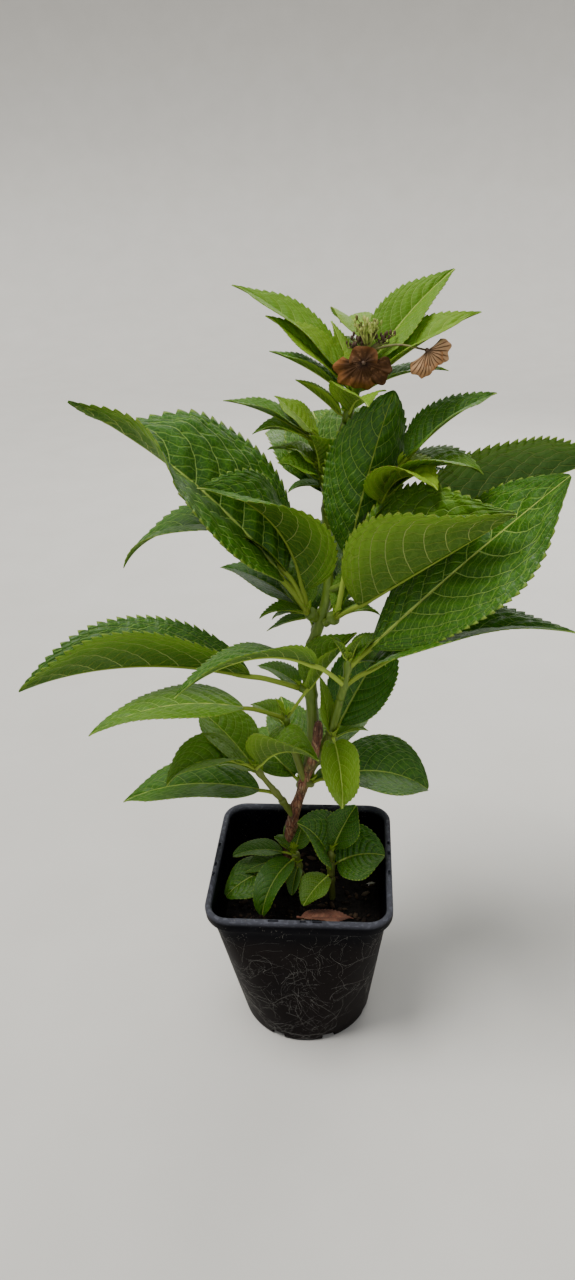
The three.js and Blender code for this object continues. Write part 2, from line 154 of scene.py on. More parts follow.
class Paint:
    # A material with one Principled shader: its wires start from the object's own coordinates
    def __init__(self, name, **constants):
        self.material = bpy.data.materials.new(name)
        self.material.use_nodes = True
        self.tree = self.material.node_tree
        self.shader = self.tree.nodes["Principled BSDF"]
        for socket, value in constants.items():
            self.shader.inputs[socket.replace("_", " ")].default_value = value
        self.start = Wire(self.tree)

    def place(self):
        return self.start.node("TexCoord", out="Object")

    def attribute(self, name):
        return self.start.node("Attribute", {"attribute_name": name}, out="Vector")

    def finish(self, colour, roughness, height, depth, strength=1.0):
        bump = self.start.node("Bump", None, {"Height": height, "Distance": depth, "Strength": strength})
        for socket, wire in (("Base Color", colour), ("Roughness", roughness), ("Normal", bump)):
            if isinstance(wire, Wire):
                self.tree.links.new(wire.socket, self.shader.inputs[socket])
            else:
                self.shader.inputs[socket].default_value = wire
        return self.material


def linked(name, data):  # an object in the scene
    thing = bpy.data.objects.new(name, data)
    bpy.context.scene.collection.objects.link(thing)
    return thing


def meshOf(name, shape):
    mesh = bpy.data.meshes.new(name)
    shape.to_mesh(mesh)
    shape.free()
    return mesh


def shown(name, mesh, material, replaces, smooth=True):  # a mesh as a piece that rides on the plant
    mesh.validate()
    mesh.materials.append(material)
    if smooth:
        mesh.shade_smooth()
    piece = linked(name, mesh)
    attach(piece, "root")
    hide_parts(*replaces)
    return piece


def frozen(shape):  # a bmesh as arrays: corners holds each face's vertices in turn, sizes how many it has
    shape.verts.index_update()
    spots = np.array([v.co[:] for v in shape.verts])
    corners = np.array([v.index for f in shape.faces for v in f.verts])
    sizes = np.array([len(f.verts) for f in shape.faces])
    shape.free()
    return {"spots": spots, "corners": corners, "sizes": sizes}


def moved(template, spots, **marks):  # a template at new spots, with values there for its material to read
    tables = {key: np.stack(np.broadcast_arrays(*values, spots[:, 0])[:3], axis=1)
              for key, values in marks.items()}
    return {**template, "spots": spots, "marks": tables}


def joined(name, parts, material, replaces, smooth=True):  # one piece from many bent templates
    spots = np.concatenate([p["spots"] for p in parts]) * milli
    starts = np.cumsum([0] + [len(p["spots"]) for p in parts[:-1]])
    corners = np.concatenate([p["corners"] + start for p, start in zip(parts, starts)])
    sizes = np.concatenate([p["sizes"] for p in parts])
    mesh = bpy.data.meshes.new(name)
    mesh.vertices.add(len(spots))
    mesh.vertices.foreach_set("co", spots.ravel())
    mesh.loops.add(len(corners))
    mesh.loops.foreach_set("vertex_index", corners)
    mesh.polygons.add(len(sizes))
    mesh.polygons.foreach_set("loop_start", np.cumsum(sizes) - sizes)
    mesh.update(calc_edges=True)
    for key in parts[0]["marks"]:
        marks = np.concatenate([p["marks"][key] for p in parts])
        mesh.attributes.new(key, "FLOAT_VECTOR", "POINT").data.foreach_set("vector", marks.ravel())
    return shown(name, mesh, material, replaces, smooth)


def seededRandom(seed):  # the same small random numbers from 0 to 1 as in the part's source
    state = seed * 7919
    while True:
        state = (state * 16807) % 2147483647
        yield state / 2147483647


def smoothPath(points, count):  # count points in equal steps on a centripetal Catmull-Rom curve
    knots = [np.array(p, float) for p in points]
    knots = [2 * knots[0] - knots[1], *knots, 2 * knots[-1] - knots[-2]]
    fine = []
    u = np.linspace(0, 1, 24)[:, None]
    for a, b, c, d in zip(knots, knots[1:], knots[2:], knots[3:]):
        first, middle, last = (math.sqrt(np.linalg.norm(q - p)) for p, q in ((a, b), (b, c), (c, d)))
        leave = ((b - a) / first - (c - a) / (first + middle) + (c - b) / middle) * middle
        arrive = ((c - b) / middle - (d - b) / (middle + last) + (d - c) / last) * middle
        fine.append(b + leave * u + (3 * (c - b) - 2 * leave - arrive) * u ** 2
                    + (2 * (b - c) + leave + arrive) * u ** 3)
    fine = np.concatenate(fine)
    along = np.concatenate([[0], np.cumsum(np.linalg.norm(np.diff(fine, axis=0), axis=1))])
    places = np.linspace(0, along[-1], count)
    return np.stack([np.interp(places, along, fine[:, k]) for k in range(3)], axis=1)


def times(directions, lengths):  # each direction by its own length
    return directions * lengths[:, None]


def squareTo(path):  # two directions square to a path at each of its points, which don't twist along it
    ahead = np.gradient(path, axis=0)
    ahead /= np.linalg.norm(ahead, axis=1)[:, None]
    side = np.cross(ahead[0], (0.0, 1.0, 0.0))
    sides = []
    for heading in ahead:
        side = side - heading * (side @ heading)
        side = side / np.linalg.norm(side)
        sides.append(side)
    sides = np.array(sides)
    return sides, np.cross(ahead, sides)


def rod(rows, sides):  # a closed round rod along z from 0 to 1, radius 1, with its rings evenly spaced
    shape = bmesh.new()
    bmesh.ops.create_cone(shape, cap_ends=True, cap_tris=True, segments=sides, radius1=1, radius2=1,
                          depth=1)
    long = [e for e in shape.edges if abs(e.verts[0].co.z - e.verts[1].co.z) > 0.5]
    bmesh.ops.subdivide_edges(shape, edges=long, cuts=rows - 1, use_grid_fill=True)
    bmesh.ops.translate(shape, verts=shape.verts, vec=(0, 0, 0.5))
    return frozen(shape)


def bentRod(template, path, radii, relief=None, **marks):  # a rod along a path: a radius for each row
    rows = len(path) - 1
    across, deep = squareTo(path)
    x, y, z = template["spots"].T
    row = np.rint(z * rows).astype(int)
    reach = np.asarray(radii)[row]
    if relief is not None:
        reach = reach + relief(np.arctan2(y, x), path[row]) * np.hypot(x, y)
    spots = path[row] + times(across[row], x * reach) + times(deep[row], y * reach)
    return moved(template, spots, **marks)


view = {  # where the camera stands, which way it looks in degrees, and its lens
    "spot": (55.1, -645.8, 730.7), "yaw": -5.39, "pitch": 27.52, "roll": -2.258,
    "lens": 25.72, "sensor": 36, "nearest": 0.01,
}


def makeCamera():
    yaw, pitch, roll = (math.radians(view[k]) for k in ("yaw", "pitch", "roll"))
    ahead = Vector((math.sin(yaw) * math.cos(pitch), math.cos(yaw) * math.cos(pitch), -math.sin(pitch)))
    level = Vector((math.cos(yaw), -math.sin(yaw), 0))
    upward = level.cross(ahead)
    right = level * math.cos(roll) + upward * math.sin(roll)
    top = upward * math.cos(roll) - level * math.sin(roll)
    camera = linked("camera", bpy.data.cameras.new("camera"))
    camera.data.lens = view["lens"]
    camera.data.sensor_width = view["sensor"]
    camera.data.clip_start = view["nearest"]
    camera.matrix_world = Matrix.Translation(Vector(view["spot"]) * milli) @ Matrix(
        (right, top, -ahead)).transposed().to_4x4()
    bpy.context.scene.camera = camera


# The stage is in metres
backdrop = {"half": 14, "front": 5, "back": 3, "bend": 1.5, "tall": 1.5, "steps": 60}
lights = {
    "sky": {"kind": "SUN", "spot": (-0.5, -0.15, 1.6), "size": math.radians(30), "power": 3.5,
            "colour": (1, 0.99, 0.95)},
    "fill": {"kind": "AREA", "spot": (0.9, -1.9, 1.2), "size": 1.6, "power": 6,
             "colour": (0.95, 0.98, 1)},
    "behind": {"kind": "AREA", "spot": (0.5, 1.7, 1.3), "size": 1.4, "power": 15,
               "colour": (1, 1, 0.95)},
}
lightAim = (0, 0, 0.3)
daylight = {"Color": (0.96, 0.98, 1, 1), "Strength": 0.42}


def makeFloor():
    shape = bmesh.new()
    bmesh.ops.create_grid(shape, x_segments=1, y_segments=backdrop["steps"], size=1)
    flatLong = backdrop["front"] + backdrop["back"]
    bendLong = backdrop["bend"] * math.pi / 2
    for v in shape.verts:  # a flat floor that sweeps up into a wall far behind the plant
        run = (v.co.y + 1) / 2 * (flatLong + bendLong + backdrop["tall"])
        turn = held(run - flatLong, 0, bendLong) / backdrop["bend"]
        v.co.x *= backdrop["half"]
        v.co.y = min(run, flatLong) - backdrop["front"] + backdrop["bend"] * math.sin(turn)
        v.co.z = backdrop["bend"] * (1 - math.cos(turn)) + max(run - flatLong - bendLong, 0)
    mesh = meshOf("floor", shape)
    mesh.shade_smooth()
    paint = Paint("pale_floor")
    speck = paint.place().noise(9, 5)
    mesh.materials.append(paint.finish(speck.mix("c9c6c0", "d4d1cc"), 0.75, speck, 0.0005))
    linked("floor", mesh)


def makeLight():
    world = bpy.data.worlds.new("soft_day")
    world.use_nodes = True
    for socket, value in daylight.items():
        world.node_tree.nodes["Background"].inputs[socket].default_value = value
    bpy.context.scene.world = world
    for name, facts in lights.items():
        lamp = bpy.data.lights.new(name, facts["kind"])
        setattr(lamp, "size" if facts["kind"] == "AREA" else "angle", facts["size"])
        lamp.energy = facts["power"]
        lamp.color = facts["colour"]
        holder = linked(name, lamp)
        holder.location = facts["spot"]
        holder.rotation_euler = (Vector(lightAim) - holder.location).to_track_quat("-Z", "Y").to_euler()


makeCamera()
makeFloor()
makeLight()
print("camera, floor and light are set")


pot = {
    "height": 168, "rimHalf": 81, "rimTall": 13, "rimOverhang": 5, "rimCorner": 18, "footRadius": 61,
    "wall": 2, "floorThick": 3, "soilTop": 126, "sides": 192,
    "wallRings": (6, 24, 42, 60, 78, 96, 114, 132, 146), "insideRings": (140, 126, 100, 60, 20),
    "lipRound": 2.6, "drains": 8, "drainWide": 12, "drainTall": 7, "drainDeep": 12,
    "frontSlots": ((-20, 9), (5, 5), (17, 8)), "sideSlots": ((-16, 6), (10, 5), (24, 5)),  # middle, length
    "slotOut": 78.5, "slotWide": 2.2, "slotDeep": 2.2, "sharp": 35,
}


def wallHalf(z):
    top = pot["rimHalf"] - pot["rimOverhang"]
    return mixed(pot["footRadius"], top, z / (pot["height"] - pot["rimTall"]))


def squareReach(turn, half, z):  # how far the pot's rounded square reaches in one direction
    corner = mixed(pot["footRadius"], pot["rimCorner"], z / pot["height"])
    corner = min(half, max(1, corner - (wallHalf(z) - half)))
    inner = half - corner
    across, low = sorted((abs(math.cos(turn)), abs(math.sin(turn))), reverse=True)
    reach = half / across
    if reach * low > inner:
        middle = inner * (across + low)
        reach = middle + math.sqrt(middle ** 2 - 2 * inner ** 2 + corner ** 2)
    return reach


def onRing(turn, half, z):  # a point in metres on the rounded square of that half width
    reach = squareReach(turn, half, z) if half > 0 else 0
    return reach * math.cos(turn) * milli, reach * math.sin(turn) * milli, z * milli


def wrapped(columns, profile):  # rings of the rounded square up a profile of (half width, height), closed
    shape = bmesh.new()
    bmesh.ops.create_grid(shape, x_segments=columns, y_segments=len(profile) - 1, size=1)
    for v in shape.verts:
        half, z = profile[round((v.co.y + 1) / 2 * (len(profile) - 1))]
        v.co = onRing((v.co.x + 1) * math.pi, half, z)
    bmesh.ops.remove_doubles(shape, verts=shape.verts, dist=1e-6)
    bmesh.ops.recalc_face_normals(shape, faces=shape.faces)
    return shape


def potPlastic():
    paint = Paint("black_pot_plastic", Specular_IOR_Level=0.03)
    place = paint.place()
    z = place.split()[2]
    top = pot["height"] * milli
    soilLine = pot["soilTop"] * milli
    film = place.noise(14, 5)  # grey dust that dried on in patches
    streak = place.stretch(60, 60, 9).noise(1, 3)  # rain marks that run down
    grit = place.cells(420, "F1").between(0.1, 0.24, 1.0, 0.0) * place.noise(60, 2).between(0.52, 0.66)
    scuff = place.stretch(1, 1, 3).noise(240, 4).between(0.5, 0.62)
    # the top of the rim is painted lighter: dust, and a painted sheen where light falls on it
    rimDustAndSheen = z.between(top - 0.006, top - 0.001, 0.0, 1.1) * (film + scuff * 0.3)
    dust = film.between(0.42, 0.8, 0.0, 0.03) + streak.between(0.55, 0.8, 0.0, 0.03) + rimDustAndSheen
    splashes = z.between(soilLine - 0.002, soilLine + 0.024, 0.5, 0.0) * film
    colour = coats(dust.mix("020206", "565760"), (grit * 0.4, "8f8b84"), (splashes, "2a211b"))
    height = grit + place.noise(220, 3) * 0.25 + streak * 0.1
    return paint.finish(colour, film * 0.25 + 0.36, height, 0.0004, 0.5)


# Half widths and heights from the middle of the underside out, up, over the rim and in. Its small numbers
# are how far a point of a rounded edge stands from the edge itself.
def potProfile():
    tall, rim, foot, lip = pot["height"], pot["rimHalf"], pot["footRadius"], pot["lipRound"]
    skirt = tall - pot["rimTall"]
    mouth = rim - pot["rimOverhang"]
    outside = [(0, 0), (foot - 4, 0), (foot - 1.2, 0.2), (foot, 1.4)]
    outside += [(wallHalf(z), z) for z in (*pot["wallRings"], skirt - 1.4)]
    outside += [(wallHalf(skirt) + 0.8, skirt - 0.2), (rim - 1.6, skirt), (rim - 0.4, skirt + 0.6)]
    edge = [(rim, skirt + 1.8), (rim, tall - 3.4)]
    edge += [(rim - lip + lip * math.cos(a), tall - lip + lip * math.sin(a))
             for a in np.radians((20, 45, 70, 90))]
    edge += [(mouth + 1.8, tall), (mouth + 0.6, tall - 0.5), (mouth - 0.4, tall - 2)]
    inside = [(wallHalf(z) - pot["wall"], z) for z in (skirt, *pot["insideRings"], pot["floorThick"])]
    return outside + edge + inside + [(0, pot["floorThick"])]


def addBox(shape, turn, spot, size):  # a box with its middle at a spot, both turned round the pot's middle
    place = Matrix.Rotation(turn, 4, "Z") @ Matrix.Translation([c * milli for c in spot])
    bmesh.ops.create_cube(shape, size=1, matrix=place @ Matrix.Diagonal((*[c * milli for c in size], 1)))


def makePot():
    mesh = meshOf("pot_shell", wrapped(pot["sides"], potProfile()))
    holes = bmesh.new()
    for i in range(pot["drains"]):
        addBox(holes, (i + 0.5) * 2 * math.pi / pot["drains"], (pot["footRadius"], 0, 0),
               (pot["drainDeep"], pot["drainWide"], 2 * pot["drainTall"]))
    for side in range(4):  # narrow slots in the top of the rim
        for middle, long in pot["sideSlots"] if side % 2 else pot["frontSlots"]:
            addBox(holes, side * math.pi / 2, (middle, -pot["slotOut"], pot["height"]),
                   (long, pot["slotWide"], 2 * pot["slotDeep"]))
    cutter = linked("drain_cutter", meshOf("drain_cutter", holes))
    shell = shown("pot_shell", mesh, potPlastic(), ["pot"])
    cut = shell.modifiers.new("drains", "BOOLEAN")
    cut.operation = "DIFFERENCE"
    cut.solver = "EXACT"
    cut.object = cutter
    solid = bpy.data.meshes.new_from_object(shell.evaluated_get(bpy.context.evaluated_depsgraph_get()))
    shell.modifiers.clear()
    shell.data = solid
    solid.set_sharp_from_angle(angle=math.radians(pot["sharp"]))
    bpy.data.objects.remove(cutter)


threads = {  # pairs are from-to, or for facing, height and the spreads a middle and its scatter
    "bunches": 84, "inBunch": (2, 9), "rows": 14, "thick": (0.03, 0.085), "long": (5, 46), "seed": 12,
    "facing": (-1.85, 0.6), "height": (72, 42), "spread": (0.09, 5), "bend": 0.07, "wander": 0.16,
    "bunchHeights": (10, 142), "startHeights": (4, 148), "heights": (3, 150), "proud": 0.08,
}


def threadPaint():
    paint = Paint("dry_root_threads")
    tone = paint.place().noise(240, 3)
    return paint.finish(tone.mix("6b6963", "a5a39c"), 0.8, tone, 0.0002)


def makeThreads():  # fine dry roots and web that cling to the outside of the pot, in bunches
    pick = random.Random(threads["seed"])
    rows = threads["rows"]
    template = rod(rows, 4)
    turnSpread, heightSpread = threads["spread"]
    parts = []
    for i in range(threads["bunches"]):  # three bunches in four face the photograph
        bunchTurn = pick.gauss(*threads["facing"]) if i % 4 else pick.uniform(-math.pi, math.pi)
        bunchHeight = held(pick.gauss(*threads["height"]), *threads["bunchHeights"])
        for _ in range(pick.randint(*threads["inBunch"])):
            turn = bunchTurn + pick.gauss(0, turnSpread)
            z = held(bunchHeight + pick.gauss(0, heightSpread), *threads["startHeights"])
            lean = pick.uniform(0, 2 * math.pi)
            bend = pick.gauss(0, threads["bend"])
            step = mixed(*threads["long"], pick.random() ** 2) / rows
            spots = []
            for _ in range(rows + 1):
                reach = squareReach(turn, wallHalf(z), z) + threads["proud"]
                spots.append((reach * math.cos(turn), reach * math.sin(turn), z))
                lean += bend + pick.gauss(0, threads["wander"])
                turn += step * math.cos(lean) / reach
                z = held(z + step * math.sin(lean), *threads["heights"])
            thick = mixed(*threads["thick"], pick.random() ** 2)
            parts.append(bentRod(template, np.array(spots), np.linspace(thick, thick * 0.4, rows + 1)))
    joined("root_threads", parts, threadPaint(), ["pot"])


makePot()
makeThreads()
print("pot made")


soil = {
    "grid": 150, "sink": 1.6, "lump": 2.6, "lumpScale": 0.035, "grain": 0.9, "grainScale": 0.22,
    "edgeDip": 3.0, "dipFrom": 0.7, "half": 70, "gap": 0.5,
}
crumbs = {  # size is the least and how much more
    "count": 620, "seed": 5, "spread": 66, "corner": 48, "cornerRound": 17, "size": (0.5, 2.2),
    "long": (1, 2.4), "tall": (0.35, 0.8), "tilt": 0.5, "pale": 0.025,
}


def soilHeight(x, y):
    p = Vector((x, y, 0))
    low = noise.fractal(p * soil["lumpScale"], 0.9, 2.1, 3) * soil["lump"]
    fine = noise.fractal(p * soil["grainScale"] + Vector((9, 3, 1)), 0.8, 2.0, 4) * soil["grain"]
    edge = max(abs(x), abs(y)) / soil["half"]
    dip = soil["edgeDip"] * max(0, edge - soil["dipFrom"]) / (1 - soil["dipFrom"])
    return pot["soilTop"] - soil["sink"] + low + fine - dip


def soilPaint():
    paint = Paint("moist_compost", Specular_IOR_Level=0.12)
    place = paint.place()
    bits = place.noise(260, 6, 0.7)
    fibre = place.stretch(1, 0.25, 1).cells(520, "F1")
    colour = coats(place.noise(55, 3).mix("070504", "130e0a"),
                   (bits.between(0.52, 0.74, 0.0, 0.7), "281e16"),
                   (fibre.between(0.05, 0.14, 0.3, 0.0), "43342a"))
    return paint.finish(colour, bits * 0.3 + 0.65, bits + fibre * 0.5, 0.0015, 0.8)


def makeSoil():
    top, low = pot["soilTop"], pot["floorThick"] + soil["gap"]
    topHalf, lowHalf = (wallHalf(z) - pot["wall"] - soil["gap"] for z in (top, low))
    shape = bmesh.new()
    bmesh.ops.create_grid(shape, x_segments=soil["grid"], y_segments=soil["grid"], size=1)
    rim = [e for e in shape.edges if e.is_boundary]
    for v in shape.verts:
        turn = math.atan2(v.co.y, v.co.x)
        reach = squareReach(turn, topHalf, top) * max(abs(v.co.x), abs(v.co.y))
        x, y = reach * math.cos(turn), reach * math.sin(turn)
        v.co = (x * milli, y * milli, soilHeight(x, y) * milli)
    for v in bmesh.ops.extrude_edge_only(shape, edges=rim)["geom"]:
        if isinstance(v, bmesh.types.BMVert):
            v.co = onRing(math.atan2(v.co.y, v.co.x), lowHalf, low)
    bmesh.ops.contextual_create(shape, geom=[e for e in shape.edges if e.is_boundary])
    bmesh.ops.recalc_face_normals(shape, faces=shape.faces)
    shown("soil_bed", meshOf("soil_bed", shape), soilPaint(), ["soil"])


def crumbPaint():
    paint = Paint("bark_and_grit", Specular_IOR_Level=0.15)
    tone = paint.attribute("tint").split()[0]
    grain = paint.place().noise(420, 4)
    colour = tone.ramp((0.0, "160f0b"), (0.5, "32251b"), (0.82, "5f4d3a"), (1.0, "d8d2c4"))
    return paint.finish((grain * 0.5).mix(colour, "20170f"), 0.85, grain, 0.0006)


def ball(subdivisions):
    shape = bmesh.new()
    bmesh.ops.create_icosphere(shape, subdivisions=subdivisions, radius=1)
    return frozen(shape)


def makeCrumbs():  # bits of bark, and a few of pale grit
    template = ball(1)
    pick = random.Random(crumbs["seed"])
    wide, corner, tilt = crumbs["spread"], crumbs["corner"], crumbs["tilt"]
    parts = []
    for _ in range(crumbs["count"]):
        x, y = pick.uniform(-wide, wide), pick.uniform(-wide, wide)
        if math.hypot(max(abs(x) - corner, 0), max(abs(y) - corner, 0)) > crumbs["cornerRound"]:
            continue
        size = crumbs["size"][0] + crumbs["size"][1] * pick.random() ** 3
        turn = Matrix.Rotation(pick.uniform(0, 6.3), 3, "Z")
        turn = turn @ Matrix.Rotation(pick.uniform(-tilt, tilt), 3, "X")
        stretched = Matrix.Diagonal((size * pick.uniform(*crumbs["long"]), size,
                                     size * pick.uniform(*crumbs["tall"])))
        spots = template["spots"] @ np.array(turn @ stretched).T + (x, y, soilHeight(x, y) + size * 0.2)
        tone = 1.0 if pick.random() < crumbs["pale"] else pick.random() * 0.85
        parts.append(moved(template, spots, tint=(tone, tone, tone)))
    joined("soil_crumbs", parts, crumbPaint(), ["soil"], smooth=False)


makeSoil()
makeCrumbs()
print("soil made")


underSoil = pot["soilTop"] - 5
limbs = {  # points from root to tip, radius at the root, behind the flare and at the tip, and its nodes
    "trunk": {
        "path": [(-12, 20, underSoil - 1), (-14, 20, 160), (-9, 17, 200), (0, 14, 232), (5, 12, 250),
                 (13, 4, 280), (18, -1, 316)],
        "radii": (8.5, 5.6, 3.6), "nodes": (0.36, 0.62)},
    "main_bough": {
        "path": [(6, 15, 252), (10, 15, 275), (12, 15, 300), (11, 15, 335), (12, 17, 375), (20, 19, 401),
                 (26, 24, 425), (26, 31, 458), (26, 40, 497), (32, 40, 530), (41, 36, 558)],
        "radii": (5.6, 5.2, 3.2), "nodes": (0.26, 0.41, 0.5, 0.77)},
    "right_bough": {
        "path": [(5, 12, 250), (19, 13, 277), (27, 7, 300), (36, -2, 340)],
        "radii": (4.2, 3.8, 3.4), "nodes": (0.48,)},
    "left_bough": {
        "path": [(3, 12, 248), (-1, 7, 268), (-5, 3, 289)], "radii": (3.4, 3.2, 3), "nodes": (0.9,)},
    "low_left_bough": {
        "path": [(-8, 17, 202), (-18, 9, 228)], "radii": (3.4, 3.2, 3), "nodes": (0.9,)},
    "upper_right_bough": {
        "path": [(26, 24, 425), (38, 18, 433), (48, 15, 446)], "radii": (3.2, 3, 2.8), "nodes": (0.9,)},
    "basal_left_stem": {
        "path": [(2, 3, underSoil), (-3, 6, 148)], "radii": (3, 2.6, 2.3), "nodes": (0.85,)},
    "basal_right_stem": {
        "path": [(27, -3, underSoil), (26, -4, 152)], "radii": (3.4, 3, 2.6), "nodes": (0.85,)},
}
limbLook = {
    "flare": 0.12, "rowStep": 2.2, "sides": 28, "trunkSides": 48, "nodeRise": 1.0, "nodeLong": 3.2,
    "tornEnd": (0.97, 0.9, 0.82, 0.62), "cutEnd": (0.97, 0.8),
}


def limbRadii(path, radii, nodes):  # thick at the root, then even, with a swelling at each node
    share = np.linspace(0, 1, len(path))
    reach = np.interp(share, (0, limbLook["flare"], 1), radii)
    long = np.sum(np.linalg.norm(np.diff(path, axis=0), axis=1))
    for spot in nodes:
        away = (share - spot) * long / limbLook["nodeLong"]
        reach = reach + limbLook["nodeRise"] * np.exp(-away ** 2)
    return reach


def oldBarkRelief(turn, spots):  # long flakes and cracks
    around = np.stack([np.cos(turn) * 1.3, np.sin(turn) * 1.3, spots[:, 2] * 0.035], axis=1)
    flakes = [noise.fractal(Vector(p), 0.9, 2.1, 4) for p in around]
    fine = [noise.noise(Vector((p[0] * 5, p[1] * 5, p[2] * 9))) for p in around]
    return np.array(flakes) * 0.95 + np.array(fine) * 0.4


def greenBarkRelief(turn, spots):  # shallow ridges along the stem
    swell = [noise.noise(Vector((p[0] * 0.06, p[1] * 0.06, p[2] * 0.06))) for p in spots]
    return np.cos(turn * 6) * 0.09 + np.array(swell) * 0.22


def oldBark():
    paint = Paint("flaky_bark")
    place = paint.place()
    z = place.split()[2]
    cracks = place.stretch(1, 1, 0.28).cells(330).between(0.0, 0.09, 1.0, 0.0)
    tone = place.stretch(1, 1, 0.4).noise(90, 5, 0.6)
    grain = place.stretch(1, 1, 0.2).noise(700, 3)
    green = place.noise(40, 3).between(0.5, 0.66, 0.0, 0.55) * z.between(0.2, 0.25)
    colour = coats(
        tone.ramp((0.3, "552f20"), (0.48, "86523a"), (0.66, "b08460")),
        (grain.between(0.5, 0.66, 0.0, 0.6), "c2a37e"),
        (green, "6f7a3a"),  # young green bark between the flakes, higher up
        (cracks * 0.7, "2b1c15"),
        (z.between(0.284, 0.31, 0.0, 0.7) * (1 - grain.between(0.5, 0.66)), "3d2016"))  # the dead stub
    height = (1 - cracks) * 0.6 + tone * 0.5 + grain * 0.3
    return paint.finish(colour, tone * 0.2 + 0.68, height, 0.0012, 0.8)


def greenBark():
    paint = Paint("green_stem", Specular_IOR_Level=0.35)
    place = paint.place()
    z = place.split()[2]
    stripes = place.stretch(1, 1, 0.12).noise(420, 3)
    fleck = place.stretch(1, 1, 0.45).cells(300, "F1").between(0.10, 0.2, 1.0, 0.0)
    fleck = fleck * place.noise(70, 2).between(0.42, 0.56)
    colour = coats(
        place.noise(28, 3).mix("446114", "728a30"),
        (stripes.between(0.45, 0.7, 0.0, 0.3), "98aa50"),
        (z.between(0.24, 0.34, 0.3, 0.0), "75603a"),  # browner low down
        (fleck * 0.75, "5a3f2a"))
    return paint.finish(colour, stripes * 0.15 + 0.42, stripes * 0.4 + fleck * 0.6, 0.0004, 0.6)


def limbRod(path, radii, nodes, sides, end, relief):  # end narrows the last rows
    reach = limbRadii(path, radii, nodes)
    reach[-len(end):] *= end
    return bentRod(rod(len(path) - 1, sides), path, reach, relief)


def makeLimbs():
    look = limbLook
    parts = {}
    for name, facts in limbs.items():
        long = sum(math.dist(a, b) for a, b in zip(facts["path"], facts["path"][1:]))
        path = smoothPath(facts["path"], max(10, round(long / look["rowStep"])) + 1)
        kind = ((look["trunkSides"], look["tornEnd"], oldBarkRelief) if name == "trunk"
                else (look["sides"], look["cutEnd"], greenBarkRelief))
        parts[name] = limbRod(path, facts["radii"], facts["nodes"], *kind)
    joined("trunk_bark", [parts.pop("trunk")], oldBark(), ["trunk"])
    joined("bough_bark", list(parts.values()), greenBark(), list(parts))


makeLimbs()
print("trunk and boughs made")


def leaf(along, turn, rise, droop, long, wide, **more):
    return {"along": along, "turn": turn, "rise": rise, "droop": droop, "long": long, "wide": wide,
            "roll": 0, "twist": 0, "fold": 20, "stalk": 0.1, "belly": 0.42, "drawn": 0.3, "curl": 0, **more}


